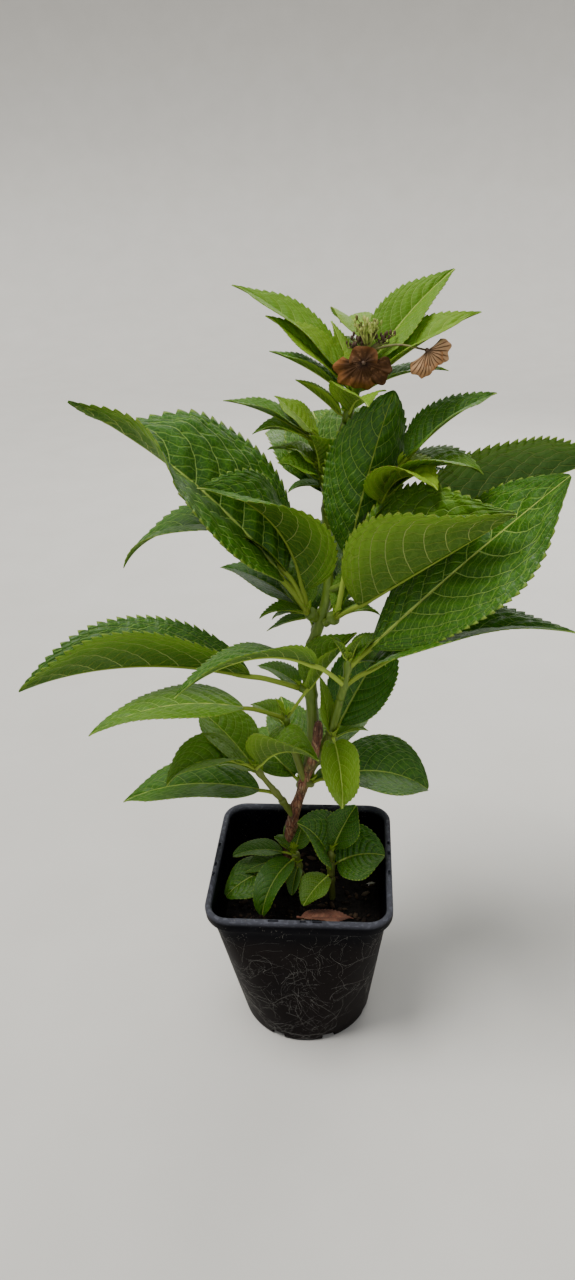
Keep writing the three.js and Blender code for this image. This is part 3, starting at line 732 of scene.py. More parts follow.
masses = {  # each mass of leaves: the stem it grows on, its leaves, its seeded ones, and how young it is; a low or negative youth also stands for painted shade on masses that get little light
    "crown_top_leaves": {
        "stem": [(41, 36, 558), (50, 31, 588), (57, 29, 614)], "thick": 3, "youthAndShade": 0.7, "teeth": 0.6,
        "leaves": [
            leaf(0.45, 165, 51, 30, 118, 38, roll=10, fold=30, age=-0.15),
            leaf(0.4, 175, 50, 20, 84, 34, roll=20, fold=25),
            leaf(0.35, 182, 39, 20, 69, 24, fold=30, age=-0.6),
            leaf(0.5, 120, 50, 5, 55, 14, fold=30),
            leaf(0.6, 30, 50, 20, 104, 38, roll=-30, fold=30, age=-0.2),
            leaf(0.45, 0, 40, 20, 101, 40, roll=-15, fold=30),
            leaf(0.4, 10, 28, 40, 71, 28, age=-0.6),
            leaf(0.1, 285, 45, 60, 62, 44, roll=10, fold=30, age=-0.1),
            leaf(0.06, 187, 44, 10, 47, 20, fold=40),
        ],
        "seeded": {"count": 3, "turn": (60, 120), "rise": (20, 40), "long": (60, 90)}, "seed": 11},
    "upper_left_leaves": {
        "stem": [(26, 40, 497), (22, 42, 519), (20, 40, 545)], "thick": 2.6, "youthAndShade": 0.35, "teeth": 0.6,
        "leaves": [
            leaf(0.95, 170, 35, 30, 80, 28, fold=30, age=-0.2),
            leaf(1, 160, 50, 20, 46, 26, roll=10, age=0.3),
            leaf(0.45, 240, 80, 30, 35, 36, fold=45, age=0.3),
            leaf(0.45, 170, 52, 40, 37, 30),
            leaf(0.3, 200, 41, 30, 40, 32, roll=20, fold=30, age=-0.2),
            leaf(0.2, 185, 19, 60, 30, 18, age=-0.5),
        ],
        "seeded": {"count": 2, "turn": (150, 180), "rise": (32, 45), "long": (40, 55)}, "seed": 24},
    "upper_right_leaves": {
        "stem": [(48, 15, 446), (57, 15, 466), (64, 17, 492), (79, 20, 528)], "thick": 2.8, "youthAndShade": 0.2,
        "leaves": [
            leaf(0.05, 22, 22, 15, 230, 108, roll=34, fold=44, stalk=0.15, age=-0.5),
            # painted light: this leaf's age lifts its underside to the palest young tone, as if lit through
            leaf(0.6, 320, 78, 120, 73, 52, fold=30, age=0.9),
            leaf(0.65, 345, 60, 90, 90, 50, fold=30, age=0.1),
            leaf(0.7, 0, 53, 60, 52, 36, age=-0.4),
            leaf(1, 5, 50, 30, 88, 46, roll=-10, fold=30, age=-0.1),
        ],
        "seeded": {"count": 1, "turn": (0, 10), "rise": (70, 80), "long": (35, 45)}, "seed": 5},
    "middle_left_leaves": {
        "stem": [(16, 18, 403), (11, 12, 412)], "thick": 3.6, "youthAndShade": 0.12,
        "leaves": [
            leaf(0.8, 195, 61, 30, 248, 124, roll=26, fold=26, stalk=0.15, drawn=0.6, curl=120),
            leaf(1, 183, 74, 135, 194, 64, roll=-2, stalk=0.2),
            leaf(1, 212, 87, 75, 158, 84, roll=-15, twist=40, fold=35, stalk=0.13),
            leaf(0.6, 155, 35, 40, 90, 44, stalk=0.15, age=-0.3),
            leaf(0.8, 130, 50, 20, 50, 34),
            leaf(0.4, 170, -15, 20, 42, 17),
        ],
        "seeded": {"count": 2, "turn": (150, 200), "rise": (0, 30), "long": (28, 45)}, "seed": 7},
    "middle_right_leaves": {
        "stem": [(24, 16, 400), (32, 9, 409)], "thick": 3.6, "youthAndShade": 0.15,
        "leaves": [
            leaf(0.8, 335, 38, 0, 176, 124, roll=-8, fold=68, stalk=0.15, belly=0.46, age=0.2),
            leaf(1, 25, 79, 10, 180, 72, roll=-80, fold=-20, stalk=0.27, belly=0.55, drawn=0.1, age=-0.04),
            leaf(0.7, 20, 49, 60, 27, 16),
            leaf(0.9, 60, 60, 20, 48, 20, fold=40),
        ],
        "seeded": {"count": 1, "turn": (10, 30), "rise": (20, 40), "long": (25, 40)}, "seed": 3},
    "right_leaves": {
        "stem": [(36, -2, 340), (41, -7, 362), (43, -9, 380)], "thick": 3.4, "youthAndShade": 0.1, "teeth": 0.7,
        "leaves": [
            leaf(0.85, 352, 49, 5, 223, 98, roll=-35, fold=2, belly=0.58),
            leaf(0.4, 345, 44, 50, 193, 62, stalk=0.12),
            leaf(0.4, 222, 50, 75, 176, 46, roll=-20, fold=25, stalk=0.24),
            leaf(0.9, 15, 66, 60, 38, 24),
            leaf(1, 200, 70, 20, 26, 14, fold=40),
            leaf(1, 330, 75, 20, 28, 14, fold=40),
        ],
        "seeded": {"count": 1, "turn": (20, 40), "rise": (0, 10), "long": (35, 45)}, "seed": 17},
    "lower_right_leaves": {
        "stem": [(24, 9, 290), (29, 3, 299)], "thick": 3, "youthAndShade": 0.2, "teeth": 0.5,
        "leaves": [
            leaf(0.9, 45, 53, 20, 110, 56, roll=-35, age=-0.3),
            leaf(1, 282, 4, 120, 74, 40, fold=45, drawn=0.8, age=0.35),
            leaf(0.9, 150, 85, 10, 58, 20, fold=10, age=0.2),
        ],
        "seeded": {"count": 1, "turn": (0, 20), "rise": (20, 40), "long": (25, 35)}, "seed": 29},
    "low_right_leaves": {
        "stem": [(2, 13, 240), (10, 9, 247)], "thick": 2.8, "youthAndShade": 0.0, "teeth": 0.3, "blunt": 0.2,
        "leaves": [leaf(1, 0, 27, 70, 108, 74, roll=-10, fold=25, belly=0.55, stalk=0.12)],
        "seeded": {"count": 2, "turn": (10, 35), "rise": (10, 40), "long": (30, 45)}, "seed": 31},
    "left_leaves": {
        "stem": [(11, 15, 335), (1, 14, 341)], "thick": 3.2, "youthAndShade": 0.1,
        "leaves": [leaf(0.9, 190, 24, 45, 236, 80, roll=-8, fold=64, stalk=0.18, belly=0.5)],
        "seeded": {"count": 1, "turn": (140, 160), "rise": (30, 50), "long": (40, 60)}, "seed": 41},
    "left_middle_leaves": {
        "stem": [(-5, 3, 289), (-10, -2, 322)], "thick": 3, "youthAndShade": 0.36, "teeth": 0.6,
        "leaves": [
            leaf(0.95, 197, 30, 60, 169, 60, roll=-5, fold=10, stalk=0.22),
            leaf(0.95, 8, 57, 10, 96, 50, roll=-15, fold=60, stalk=0.34),
            leaf(1, 170, 75, 10, 18, 9, fold=35, age=0.4),
        ],
        "seeded": {"count": 1, "turn": (120, 150), "rise": (20, 40), "long": (35, 50)}, "seed": 43},
    "low_left_leaves": {
        "stem": [(-18, 9, 228), (-24, 6, 240), (-38, 0, 267)], "thick": 2.8, "youthAndShade": 0.35, "teeth": 0.35,
        "leaves": [
            leaf(1, 205, 46, 100, 90, 48, roll=5, fold=35, stalk=0.15),
            leaf(0.95, 150, 48, 30, 77, 56),
            leaf(1, 318, 57, 60, 94, 52, roll=5, fold=55),
            leaf(0.2, 186, 21, 50, 140, 58, roll=5, age=-0.15),
        ],
        "seeded": {"count": 2, "turn": (110, 170), "rise": (10, 40), "long": (30, 45)}, "seed": 48},
    "basal_left_leaves": {
        "stem": [(-3, 6, 148), (-8, 9, 168)], "thick": 2.2, "youthAndShade": -0.05, "teeth": 0.12, "blunt": 0.6,
        "leaves": [
            leaf(0.8, 190, 32, 60, 60, 24, stalk=0.2),
            leaf(0.5, 200, 26, 60, 52, 24, stalk=0.2),
            leaf(0.2, 205, 22, 70, 77, 42, roll=12, fold=8, stalk=0.2),
            leaf(0.7, 240, 18, 100, 70, 30, fold=30, age=-0.25),
            leaf(0.3, 262, 15, 70, 34, 14),
            leaf(1, 165, 46, 30, 22, 12),
            leaf(1, 60, 68, 30, 28, 26),
        ],
        "seeded": {"count": 2, "turn": (90, 150), "rise": (20, 50), "long": (30, 45)}, "seed": 53},
    "basal_right_leaves": {
        "stem": [(26, -4, 152), (26, -4, 181)], "thick": 2.6, "youthAndShade": -0.1, "teeth": 0.55, "blunt": 0.35,
        "leaves": [
            leaf(0.3, 200, 86, 50, 68, 56, roll=30, fold=25),
            leaf(0.4, 0, 42, 60, 52, 60, roll=-20, age=-0.1),
            leaf(0.95, 40, 62, 20, 48, 36, roll=-30, fold=30),
            leaf(0.1, 230, 0, 45, 40, 30, age=0.2),
        ],
        "seeded": {"count": 2, "turn": (60, 110), "rise": (20, 50), "long": (35, 50)}, "seed": 59},
    "back_upper_leaves": {
        "stem": [(26, 38, 482), (30, 52, 492)], "thick": 3, "youthAndShade": 0.25, "leaves": [],
        "seeded": {"count": 4, "turn": (50, 125), "rise": (25, 50), "long": (100, 140)}, "seed": 61},
    "back_middle_leaves": {
        "stem": [(15, 18, 386), (16, 32, 396)], "thick": 3.4, "youthAndShade": 0.12, "leaves": [],
        "seeded": {"count": 4, "turn": (40, 128), "rise": (25, 45), "long": (130, 180)}, "seed": 67},
    "back_low_leaves": {
        "stem": [(0, 14, 232), (0, 28, 242)], "thick": 3, "youthAndShade": 0.2, "teeth": 0.5, "leaves": [],
        "seeded": {"count": 4, "turn": (55, 145), "rise": (15, 40), "long": (90, 130)}, "seed": 71},
}

seedRule = {  # the least that a seeded leaf has, and how much more it may have
    "along": (0.3, 0.7), "droop": (35, 30), "slim": (0.46, 0.08), "roll": (-15, 30), "fold": (18, 14),
}
leafLook = {
    "teeth": (12, 0.08), "rowsPerTooth": 5, "toothTall": 0.52, "toothLean": 0.3, "toothPlump": 1.6,
    "columns": (0, 0.035, 0.11, 0.23, 0.37, 0.52, 0.67, 0.81, 0.91, 0.97, 1), "thin": 0.45,
    "plump": 1.65, "pointed": 0.1, "uneven": 0.05, "tipFrom": 0.62, "curlFrom": 0.64,
    "veins": 8.5, "veinArch": (0.12, 0.16, 0.22), "rungs": 6.8, "quilt": 0.03, "groove": 0.7,
    "wave": 0.035, "marginDown": 0.045, "petiole": (0.7, 0.008), "ribRows": 40, "ribSides": 10,
    "clear": 9, "darkest": -0.6,
}


def midrib(root, form, steps=24):  # points and directions in equal steps along a leaf, from its root
    share = np.linspace(0, 1, steps + 1)
    climb = np.radians(form["rise"] - form["droop"] * share ** 1.3)
    turn = math.radians(form["turn"])
    level = np.cos(climb)
    heading = np.stack([level * math.cos(turn), level * math.sin(turn), np.sin(climb)], axis=1)
    moves = (heading[1:] + heading[:-1]) * form["long"] / steps / 2
    return np.array(root) + np.concatenate([np.zeros((1, 3)), np.cumsum(moves, axis=0)]), heading


def rootOf(mass, form):  # a leaf's root is sunk in the side of the stem that it faces
    stem = smoothPath(mass["stem"], 101)
    inward = mass["thick"] * 0.45
    turn = math.radians(form["turn"])
    return stem[round(form["along"] * 100)] + inward * np.array((math.cos(turn), math.sin(turn), 0))


def seededLeaves(mass):
    pick = seededRandom(mass["seed"])
    span = mass["seeded"]

    def picked(name):
        least, more = seedRule[name]
        return least + more * next(pick)

    grown = []
    for i in range(span["count"]):
        share = (i + 0.2 + 0.6 * next(pick)) / span["count"]
        long = mixed(*span["long"], next(pick))
        along = picked("along")
        rise = mixed(*span["rise"], next(pick))
        droop = picked("droop")
        wide = long * picked("slim")
        roll = picked("roll")
        turn = mixed(*span["turn"], share)
        grown.append(leaf(along, turn, rise, droop, long, wide, roll=roll, fold=picked("fold")))
    return grown


def grownLeaves():  # every leaf of every mass: seeded ones that crowd another mass are skipped
    kept = {name: list(mass["leaves"]) for name, mass in masses.items()}
    taken = [(name, midrib(rootOf(mass, form), form)[0])
             for name, mass in masses.items() for form in mass["leaves"]]
    for name, mass in masses.items():
        for form in seededLeaves(mass):
            ribs = midrib(rootOf(mass, form), form)[0]
            others = np.concatenate([points for other, points in taken if other != name])
            nearest = np.linalg.norm(ribs[6:, None] - others[None], axis=2).min()
            if nearest >= leafLook["clear"]:
                kept[name].append(form)
                taken.append((name, ribs))
    return kept


slabs = {}  # flat leaf templates, one for each count of rows


def leafSlab(rows):  # from -1 to 1 both ways, in an upper and a lower layer
    if rows not in slabs:
        shape = bmesh.new()
        columns = 2 * (len(leafLook["columns"]) - 1)
        bmesh.ops.create_grid(shape, x_segments=columns, y_segments=rows, size=1)
        bmesh.ops.solidify(shape, geom=shape.faces[:], thickness=1)
        slabs[rows] = frozen(shape)
    return slabs[rows]


ribRod = rod(leafLook["ribRows"], leafLook["ribSides"])


def leafFrame(root, form, s):  # the midrib's point at each s, with its heading, level side and upward side
    points, headings = midrib(root, form, 96)
    steps = np.linspace(0, 1, 97)
    spot, heading = (np.stack([np.interp(s, steps, table[:, k]) for k in range(3)], axis=1)
                     for table in (points, headings))
    heading /= np.linalg.norm(heading, axis=1)[:, None]
    turn = math.radians(form["turn"])
    flat = np.array((math.sin(turn), -math.cos(turn), 0))
    curlFrom = leafLook["curlFrom"]
    tipCurl = form["curl"] * unit((s - curlFrom) / (1 - curlFrom)) ** 1.5  # the tip turns over
    roll = np.radians(form["roll"] + form["twist"] * s - tipCurl)[:, None]
    above = np.cross(flat, heading)
    level = flat * np.cos(roll) + above * np.sin(roll)
    return spot, heading, level, above * np.cos(roll) - flat * np.sin(roll)


def bladeHalf(t, wide, belly):  # half the width of the blade at t, widest at the belly
    nearBase = leafLook["plump"] * belly
    nearTip = leafLook["plump"] * (1 - belly) + leafLook["pointed"]
    peak = nearBase / (nearBase + nearTip)
    return wide / 2 * (t ** nearBase * (1 - t) ** nearTip) / (peak ** nearBase * (1 - peak) ** nearTip)


def formHalf(form, t):  # the same with the tip drawn out, or with the whole leaf blunt
    slimmer = 1 - form["drawn"] * unit((t - leafLook["tipFrom"]) / 0.33) ** 1.4
    half = bladeHalf(t, form["wide"], form["belly"]) * slimmer
    return mixed(half, form["wide"] / 2 * np.sqrt(1 - (2 * t - 1) ** 2), form.get("blunt", 0))


def veinStart(t, edge):  # where the side vein through a point leaves the midrib: side veins arch forward
    first, second, fourth = leafLook["veinArch"]
    square = edge * edge
    return t - edge * first - square * second - square * square * fourth


def bladeLift(form, luck, x, t, out, half, away):  # how far the blade's face stands off its own plane
    wide = form["wide"]
    edge = abs(x)
    inside = unit(edge * 6) * unit((1.02 - edge) * 5) * unit(half / wide * 4)
    quilt = leafLook["quilt"] * wide * (away ** 0.75 - 0.5) * inside * (1 - 0.6 * x ** 2)
    groove = -leafLook["groove"] * np.exp(-(out / (0.02 * wide + 0.5)) ** 2)
    swing = np.sin(t * (7 + 5 * luck) + luck * 19 + np.where(x > 0, 0, 2.1))
    wave = leafLook["wave"] * wide * x * x * swing
    curl = -leafLook["marginDown"] * wide * edge ** 3 * (1 - abs(t - 0.5))  # the margin turns down
    return quilt + groove + (wave + curl) * unit(t * 5) * unit((1 - t) * 5)


def bladePart(root, form, youthAndShade, luck):
    look = leafLook
    bladeLong = form["long"] * (1 - form["stalk"])
    teeth = round(look["teeth"][0] + bladeLong * look["teeth"][1])
    rows = teeth * look["rowsPerTooth"]
    template = leafSlab(rows)
    flatX, flatY, layer = template["spots"].T
    row = np.rint((flatY + 1) / 2 * rows)
    t = np.clip(row / rows, 0.004, 0.996)  # from the blade's base to its tip
    count = len(look["columns"]) - 1
    x = np.sign(flatX) * np.interp(abs(flatX) * count, range(count + 1), look["columns"])
    side = np.where(flatX > 0, 1, -1)
    saw = 1 - (1 - (row % look["rowsPerTooth"]) / look["rowsPerTooth"]) ** look["toothPlump"]
    step = bladeLong / teeth * form.get("teeth", 1)
    edge = abs(x) ** 7 * (unit((1 - t) * 4.5) * unit(t * 14 - 1.6))  # no teeth at the base and the tip
    toothOut = (saw - 0.55) * look["toothTall"] * step * edge
    toothOn = saw * look["toothLean"] * step * edge
    s = form["stalk"] + (1 - form["stalk"]) * t
    spot, heading, level, upward = leafFrame(root, form, s)
    half = formHalf(form, t)
    out = x * np.maximum(half, 0.4) * (1 + look["uneven"] * math.sin(luck * 40) * side)
    phase = veinStart(t, abs(x)) * look["veins"] + np.where(flatX > 0, 0, 0.5) + luck
    away = abs(phase % 1 - 0.5) * 2  # 0 on a side vein and 1 halfway between two
    lift = bladeLift(form, luck, x, t, out, half, away)
    fold = math.radians(form["fold"])
    slope = times(level, side * math.cos(fold)) + upward * math.sin(fold)
    normal = upward * math.cos(fold) - times(level, side * math.sin(fold))
    normal[abs(flatX) < 1e-6] = upward[abs(flatX) < 1e-6]
    thick = look["thin"] * (0.6 + form["long"] / 250)
    spots = (spot + times(slope, abs(out) + toothOut) + times(heading, toothOn)
             + times(normal, lift + layer * thick))
    return moved(template, spots, blade=(x * (1 + (saw - 0.55) * 0.12 * edge), t, (layer < -0.5) * 1.0),
                 flat=(out / form["wide"] * 2, s * form["long"] / form["wide"] * 2, phase),
                 tint=(youthAndShade, luck, min(1, form["wide"] / 110)))


def ribPart(root, form, youthAndShade, luck):  # the petiole, which goes on under the blade as its midrib
    rows = leafLook["ribRows"]
    s = np.linspace(0, 0.985, rows + 1)
    spot, _, level, upward = leafFrame(root, form, s)
    base, share = leafLook["petiole"]
    petiole = base + share * form["long"]
    blade = (s - form["stalk"]) / (1 - form["stalk"])
    slimmer = np.interp(blade, (0, 0.08, 0.3, 0.7, 1), (1, 0.72, 0.5, 0.26, 0.08))
    radius = petiole * np.where(blade < 0, 1.1 - 0.1 * unit(s / 0.05), slimmer)
    sunk = np.interp(blade, (-0.05, 0.05), (0, 1)) * (radius * 0.75 + leafLook["groove"])
    across, deep, along = ribRod["spots"].T
    row = np.rint(along * rows).astype(int)
    hollow = np.where(deep > 0.3, 0.82, 1)  # the petiole is flatter on top
    spots = (spot[row] + times(level[row], across * radius[row])
             + times(upward[row], deep * hollow * radius[row] - sunk[row]))
    return moved(ribRod, spots, blade=(across * 0.02, unit(blade[row]), 2.0),
                 flat=(across * 0.02, s[row] * form["long"] / form["wide"] * 2, 0.0),
                 tint=(youthAndShade, luck, 0.0))


def budPart(root, form, luck):  # a small plain scale, of few faces
    template = leafSlab(10)
    flatX, flatY, layer = template["spots"].T
    t = np.clip((flatY + 1) / 2, 0.02, 0.98)
    spot, _, level, upward = leafFrame(root, form, t)
    out = flatX * bladeHalf(t, form["wide"], form["belly"])
    fold = math.radians(form["fold"])
    spots = (spot + times(level, out * math.cos(fold))
             + times(upward, abs(out) * math.sin(fold) + layer * 0.5))
    return moved(template, spots, blade=(flatX, t, (layer < -0.5) * 1.0), flat=(out / 10, t, t * 3),
                 tint=(0.85, luck, 0.05))


def leafSkin(name, age):  # age leans the mass's tones by leaf age and by painted shade: 0 gives the darkest tones, of old leaves in painted shade, 1 the palest young ones
    paint = Paint(name, Specular_IOR_Level=0.32, Subsurface_Weight=0.22, Subsurface_Scale=0.0016,
                  Subsurface_Radius=(0.55, 1, 0.12))
    x, t, side = paint.attribute("blade").split()  # side is 0 on the blade, 1 under it and 2 on its stalk
    out, along = paint.attribute("flat").split()[:2]
    youthAndShade, luck, size = paint.attribute("tint").split()
    place = paint.place()
    edge = abs(x)
    square = edge * edge
    under = side.between(0.4, 0.6)
    stalk = side.between(1.4, 1.6)
    wobble = place.noise(45, 1) * 0.1 - 0.05
    left = x.sum("LESS_THAN", x, 0.0)
    phase = veinStart(t, edge) * leafLook["veins"] + left * 0.5 + luck + wobble  # as in the quilting
    away = abs(phase.fraction() - 0.5) * 2  # 0 on a side vein, 1 halfway between two
    vein = 1 - (away / (square * 0.035 + 0.045)).between(0.5, 1.4)
    vein = vein * edge.between(0.7, 1.0, 1.0, 0.25)
    flat = x.node("CombineXYZ", None, {0: along, 1: out, 2: luck * 37})
    space = (phase + 0.5).floor()
    rung = (abs(out) + along * 0.5) * leafLook["rungs"] + space * 0.37 + flat.noise(4, 1) * 1.2
    rungAway = abs(rung.fraction() - 0.5) * 2
    ladder = rungAway.between(0.06, 0.22, 1.0, 0.0) * edge.between(0.85, 1.0, 1.0, 0.3)
    net = 1 - flat.cells(15, jitter=0.95).between(0.02, 0.1)
    midline = 1 - (abs(out) / (1.25 - t)).between(0.012, 0.034)
    patch = place.noise(34, 3)
    oldTone = patch.mix(codeBetween("1e4303", "386a04", age), codeBetween("2f5b06", "4c8408", age))
    upper = coats(
        youthAndShade.mix(oldTone, patch.mix("76980c", "9cb624")),
        (away * away * 0.2, "5c960c"),  # painted highlight: lighter on the crowns between the veins, where they bulge up into the light
        (net * 0.22, "6f9a22"),
        (ladder * (youthAndShade * 0.3 + 0.36), "8cb440"),
        (vein * (youthAndShade * 0.3 + 0.68), "a4c45c"),
        (midline * 0.85, "bdd462"))
    lower = coats(
        youthAndShade.mix(patch.mix("4f7a0a", "689614"), "a0bc34"),
        (edge.between(0.2, 0.92, 0.72, 0.0), "2c4c0e"),  # darker beside the midrib
        (edge.between(0.6, 1.0, 0.0, 0.5), "7ea41a"),
        # painted shade: darker in the hollows between the side veins on the underside
        (away * away * 0.3, "3c6210"),
        (net * 0.2, "7f9f3c"),
        (ladder * 0.4, "8ea43c"),
        (vein * 0.9, "b0c062"))
    specks = place.cells(95, "F1").between(0.06, 0.12, 1.0, 0.0) * place.noise(12, 2).between(0.6, 0.66)
    stalkTone = (luck * 0.7 + place.noise(60, 3) * 0.3).mix("6c7c1c", "a6bf48")
    colour = coats(
        under.mix(upper, lower),
        # painted shade: a youth below 0 darkens a leaf as if it got little light
        (youthAndShade.between(leafLook["darkest"], 0.0, 0.55, 0.0), "1c4a04"),
        (edge.between(0.965, 1.0) * 0.5, "93ab3c"),  # the margin
        (edge.between(1.0, 1.035) * (youthAndShade * 0.55 + 0.25), "6d4a1c"),  # the tips of the teeth
        (specks * (1 - youthAndShade) * 0.5, "5e4423"),
        (stalk, stalkTone))
    sunken = away * (0.5 - square * 0.35) - vein * 0.3 - ladder * 0.25 - net * 0.08 - midline * 0.4
    raised = vein * 0.9 + ladder * 0.45 - away * 0.5
    height = (sunken * (1 - under) + raised * under) * size
    rough = (1 - under) * (0.4 + patch * 0.12 + youthAndShade * 0.18) + under * 0.72
    return paint.finish(colour, rough, height * (1 - stalk), 0.0017, 1.0)


twigLook = {  # buds has the turns of a bud's first scales from their leaf
    "rows": 14, "sides": 16, "radii": (1.04, 1, 0.75), "end": (0.9, 0.45),
    "buds": (-50, 55), "budLong": (6, 11), "budWide": 4.2,
}


def massParts(mass, forms):  # a mass's leaves, each with its petiole and the first two scales of its bud
    parts = []
    pick = random.Random(mass["seed"])
    for form in forms:
        form = {"teeth": mass.get("teeth", 1), "blunt": mass.get("blunt", 0), **form}
        smaller = 0.5 - form["long"] / 120 if form["long"] < 120 else -0.5  # small leaves are young
        # the mass's youth and the leaf's age may bring youth below 0, which is painted shade
        youthAndShade = held(mass["youthAndShade"] + 0.35 * smaller + form.get("age", 0), leafLook["darkest"], 1)
        luck = pick.random()
        root = rootOf(mass, form)
        parts.append(bladePart(root, form, youthAndShade, luck))
        parts.append(ribPart(root, form, youthAndShade, luck))
        for turn in twigLook["buds"]:
            bud = leaf(0, form["turn"] + turn * pick.uniform(0.7, 1.3), 62, 10,
                       pick.uniform(*twigLook["budLong"]), twigLook["budWide"], fold=38, stalk=0.05)
            parts.append(budPart(root + (0, 0, 1.5), bud, pick.random()))
    return parts


def twigPart(mass, forms):
    look = twigLook
    path = smoothPath(mass["stem"], look["rows"] + 1)
    radii = [mass["thick"] * share for share in look["radii"]]
    nodes = sorted({round(form["along"], 1) for form in forms})
    return limbRod(path, radii, nodes, look["sides"], look["end"], greenBarkRelief)


def makeLeaves():
    grown = grownLeaves()
    for name, forms in grown.items():
        mass = masses[name]
        skin = leafSkin(name.replace("_leaves", "_skin"), mass["youthAndShade"])
        joined("leaves_" + name.replace("_leaves", ""), massParts(mass, forms), skin, [name])
    twigs = [twigPart(masses[name], forms) for name, forms in grown.items()]
    joined("twigs", twigs, greenBark(), list(masses))
    print("leaves:", sum(len(forms) for forms in grown.values()))


makeLeaves()
print("leaves and twigs made")


florets = [  # dry florets on the old head: where each faces, and its sepals' angle, length and half spread
    {"centre": (54, 12, 605), "turn": 268, "rise": 18, "tone": 0.0,
     "sepals": [(203, 21.5, 42), (90, 12.5, 96), (270, 18, 50), (337, 20.5, 42)]},
    {"centre": (98, 17, 612), "turn": 285, "rise": 14, "tone": 1.0,
     "sepals": [(305, 14.5, 52), (352, 17.5, 42), (250, 19, 36)]},
]
flower = {  # stalks have a radius at the base and at the end
    "seed": 83, "rows": 24, "greenStalks": 17, "lean": 36, "tall": (8, 17), "twigs": 5, "bud": (0.7, 1.15),
    "brownEnds": [(43, 27, 613), (46, 30, 618), (51, 30, 617), (72, 32, 615), (76, 33, 620), (68, 34, 617)],
    "floretStalk": (1.1, 0.7), "stalk": (0.85, 0.5), "twig": 0.35, "middle": 1.7, "sepalThin": 0.35,
}


def sepalPart(floret, sepal, luck):  # a papery sepal that spreads like a fan from its floret's middle
    angle, long, spread = sepal
    turn, rise = math.radians(floret["turn"]), math.radians(floret["rise"])
    face = np.array((math.cos(turn) * math.cos(rise), math.sin(turn) * math.cos(rise), math.sin(rise)))
    level = np.array((-math.sin(turn), math.cos(turn), 0))
    upward = np.cross(face, level)
    template = leafSlab(flower["rows"])
    flatX, flatY, layer = template["spots"].T
    t = np.clip((flatY + 1) / 2, 0.04, 1)
    fan = np.radians(angle + flatX * spread * (0.8 + 0.2 * t))
    notch = 0.07 * np.exp(-(flatX / 0.16) ** 2)
    rim = 1 - 0.3 * abs(flatX) ** 3 - notch + 0.04 * np.sin(flatX * 9 + luck * 20)
    reach = long * t * mixed(1, rim, t)
    across, deep = reach * np.cos(fan), reach * np.sin(fan)
    crumple = [noise.noise(Vector((a * 0.13, b * 0.13, luck * 9))) for a, b in zip(across, deep)]
    folds = np.sin(flatX * 15 + luck * 9) * 0.55 * t + np.array(crumple) * 5 * t
    lift = 1.2 * luck + folds - 0.13 * long * t ** 2
    spots = (np.array(floret["centre"]) + times(level, across) + times(upward, deep)
             + times(face, lift + layer * flower["sepalThin"]))
    return moved(template, spots, blade=(flatX, t, (layer < -0.5) * 1.0), tint=(floret["tone"], luck, 0.0))


def drySepal():
    paint = Paint("dry_sepal", Specular_IOR_Level=0.15)
    x, t = paint.attribute("blade").split()[:2]
    tone, luck = paint.attribute("tint").split()[:2]
    place = paint.place()
    fine = place.noise(380, 4)
    fan = abs((x * 3.4 + place.noise(120, 2) * 0.5).fraction() - 0.5) * 2
    line = fan.between(0.1, 0.5, 1.0, 0.0) * t.between(0.05, 0.2) * t.between(0.75, 1.0, 1.0, 0.35)
    dark = place.noise(95, 3).mix("2c1b0a", "553619")
    light = place.noise(95, 3).mix("a77a55", "cfae86")
    colour = coats(
        tone.mix(dark, light),
        (t.between(0.0, 0.42, 0.9, 0.0), "1e110b"),  # dark in the middle of the floret
        (t.between(0.55, 1.0, 0.0, 0.8) * luck, "9c6434"),
        (line * (tone * 0.5 + 0.4), "2e180b"),
        (fine.between(0.55, 0.75, 0.0, 0.22), "b98a5f"))
    return paint.finish(colour, 0.75, fan * 0.6 + fine * 0.5, 0.0007, 0.8)


def budGreen():
    paint = Paint("bud_green")
    tone = paint.attribute("tint").split()[0]
    place = paint.place()
    fine = place.noise(160, 3)
    colour = coats(
        fine.between(0.35, 0.65).mix("7c9030", "c2c66c"),
        (place.noise(110, 2).between(0.55, 0.64, 0.0, 0.8), "55401f"),
        (tone, fine.mix("281a10", "664a32")))
    return paint.finish(colour, 0.6, fine, 0.0004)


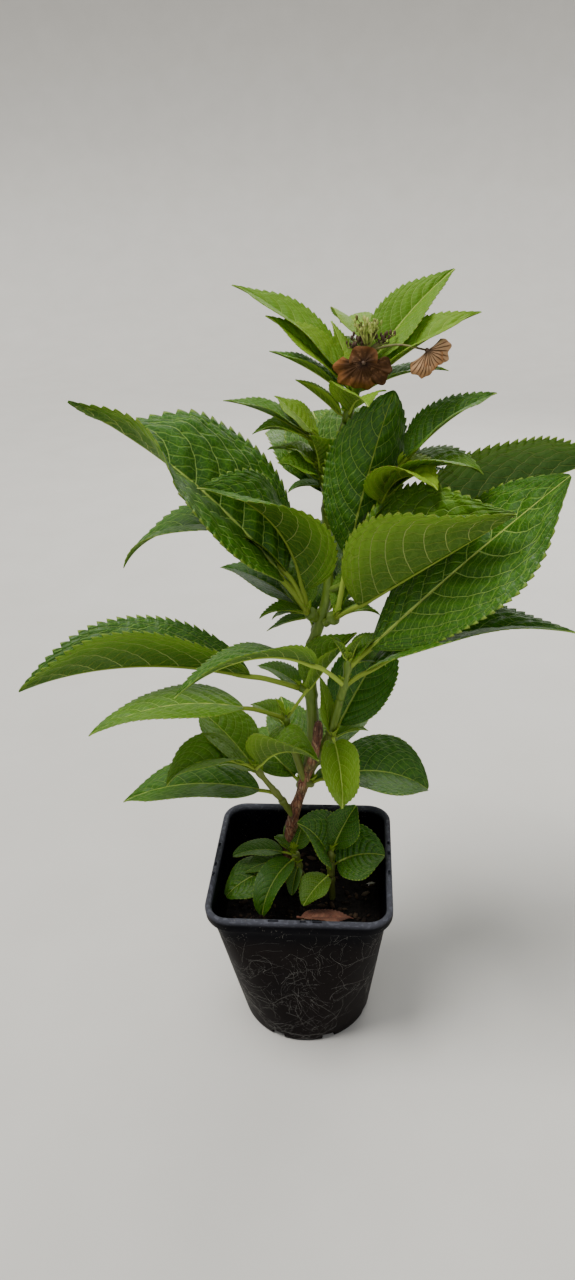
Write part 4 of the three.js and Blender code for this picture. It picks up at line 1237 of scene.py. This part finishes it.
def makeFlowerHead():
    tip = np.array(masses["crown_top_leaves"]["stem"][-1], float)
    base = tip - (0, 0, 4)
    pick = random.Random(flower["seed"])
    straight = rod(10, 8)
    knob = ball(2)
    stalks, sepals = [], []

    def addStalk(points, thick, tone):  # tone goes from 0, green, to 1, dead brown
        path = smoothPath(points, 11)
        stalks.append(bentRod(straight, path, np.linspace(*thick, 11), tint=(tone, tone, tone)))
        return path

    def addBud(size, middle, tone):
        stalks.append(moved(knob, knob["spots"] * size + middle, tint=(tone, tone, tone)))

    for floret in florets:
        centre = np.array(floret["centre"], float)
        addStalk([base, (tip + centre) / 2 + (0, 0, 2), centre], flower["floretStalk"], 0.7)
        addBud(flower["middle"], centre, 1)
        for i, sepal in enumerate(floret["sepals"]):
            sepals.append(sepalPart(floret, sepal, (i * 0.37 + 0.9) % 1))
    ends = [(np.array(spot, float), 1) for spot in flower["brownEnds"]]
    for i in range(flower["greenStalks"]):
        turn = i * 2.4
        tall = pick.uniform(*flower["tall"])
        outward = math.sqrt((i + 0.5) / flower["greenStalks"])
        away = tall * math.tan(math.radians(flower["lean"])) * outward
        ends.append((tip + (away * math.cos(turn), away * math.sin(turn), tall), 0))
    for end, tone in ends:
        path = addStalk([base, (base + end) / 2 + (0, 0, 1), end], flower["stalk"], tone * 0.7)
        for k in range(flower["twigs"]):
            start = path[10 - k]
            turn = pick.uniform(0, 6.3)
            reach = pick.uniform(0.6, 3)
            bud = start + (reach * math.cos(turn), reach * math.sin(turn), pick.uniform(0.5, 4.5))
            size = pick.uniform(*flower["bud"])
            addStalk([start, bud], (flower["twig"], flower["twig"]), tone)
            addBud((size, size, size * 1.9), bud, tone)
    joined("flower_stalks", stalks, budGreen(), ["crown_top_leaves"])
    joined("dry_florets", sepals, drySepal(), ["crown_top_leaves"])


makeFlowerHead()
print("flower head made")


fallen = {
    "root": (-4, -38, pot["soilTop"] + 7), "luck": 0.3,
    "form": leaf(0, 8, -2, 10, 52, 26, roll=20, fold=12, stalk=0.08),
}


def dryLeafPaint():
    paint = Paint("dry_leaf_skin")
    phase = paint.attribute("flat").split()[2]
    place = paint.place()
    fine = place.noise(500, 3)
    vein = (abs(phase.fraction() - 0.5) * 2).between(0.0, 0.16, 1.0, 0.0)
    colour = coats(
        place.noise(70, 4).ramp((0.3, "432217"), (0.5, "70422f"), (0.7, "93654d")),
        (vein * 0.4, "c09a72"),
        (fine.between(0.55, 0.7, 0.0, 0.3), "3d2016"))
    return paint.finish(colour, 0.8, fine * 0.5 + vein, 0.0008)


def makeFallenLeaf():
    root = np.array(fallen["root"], float)
    parts = [part(root, fallen["form"], 0, fallen["luck"]) for part in (bladePart, ribPart)]
    joined("fallen_dry_leaf", parts, dryLeafPaint(), ["fallen_leaf"])


makeFallenLeaf()
print("dry leaf made")
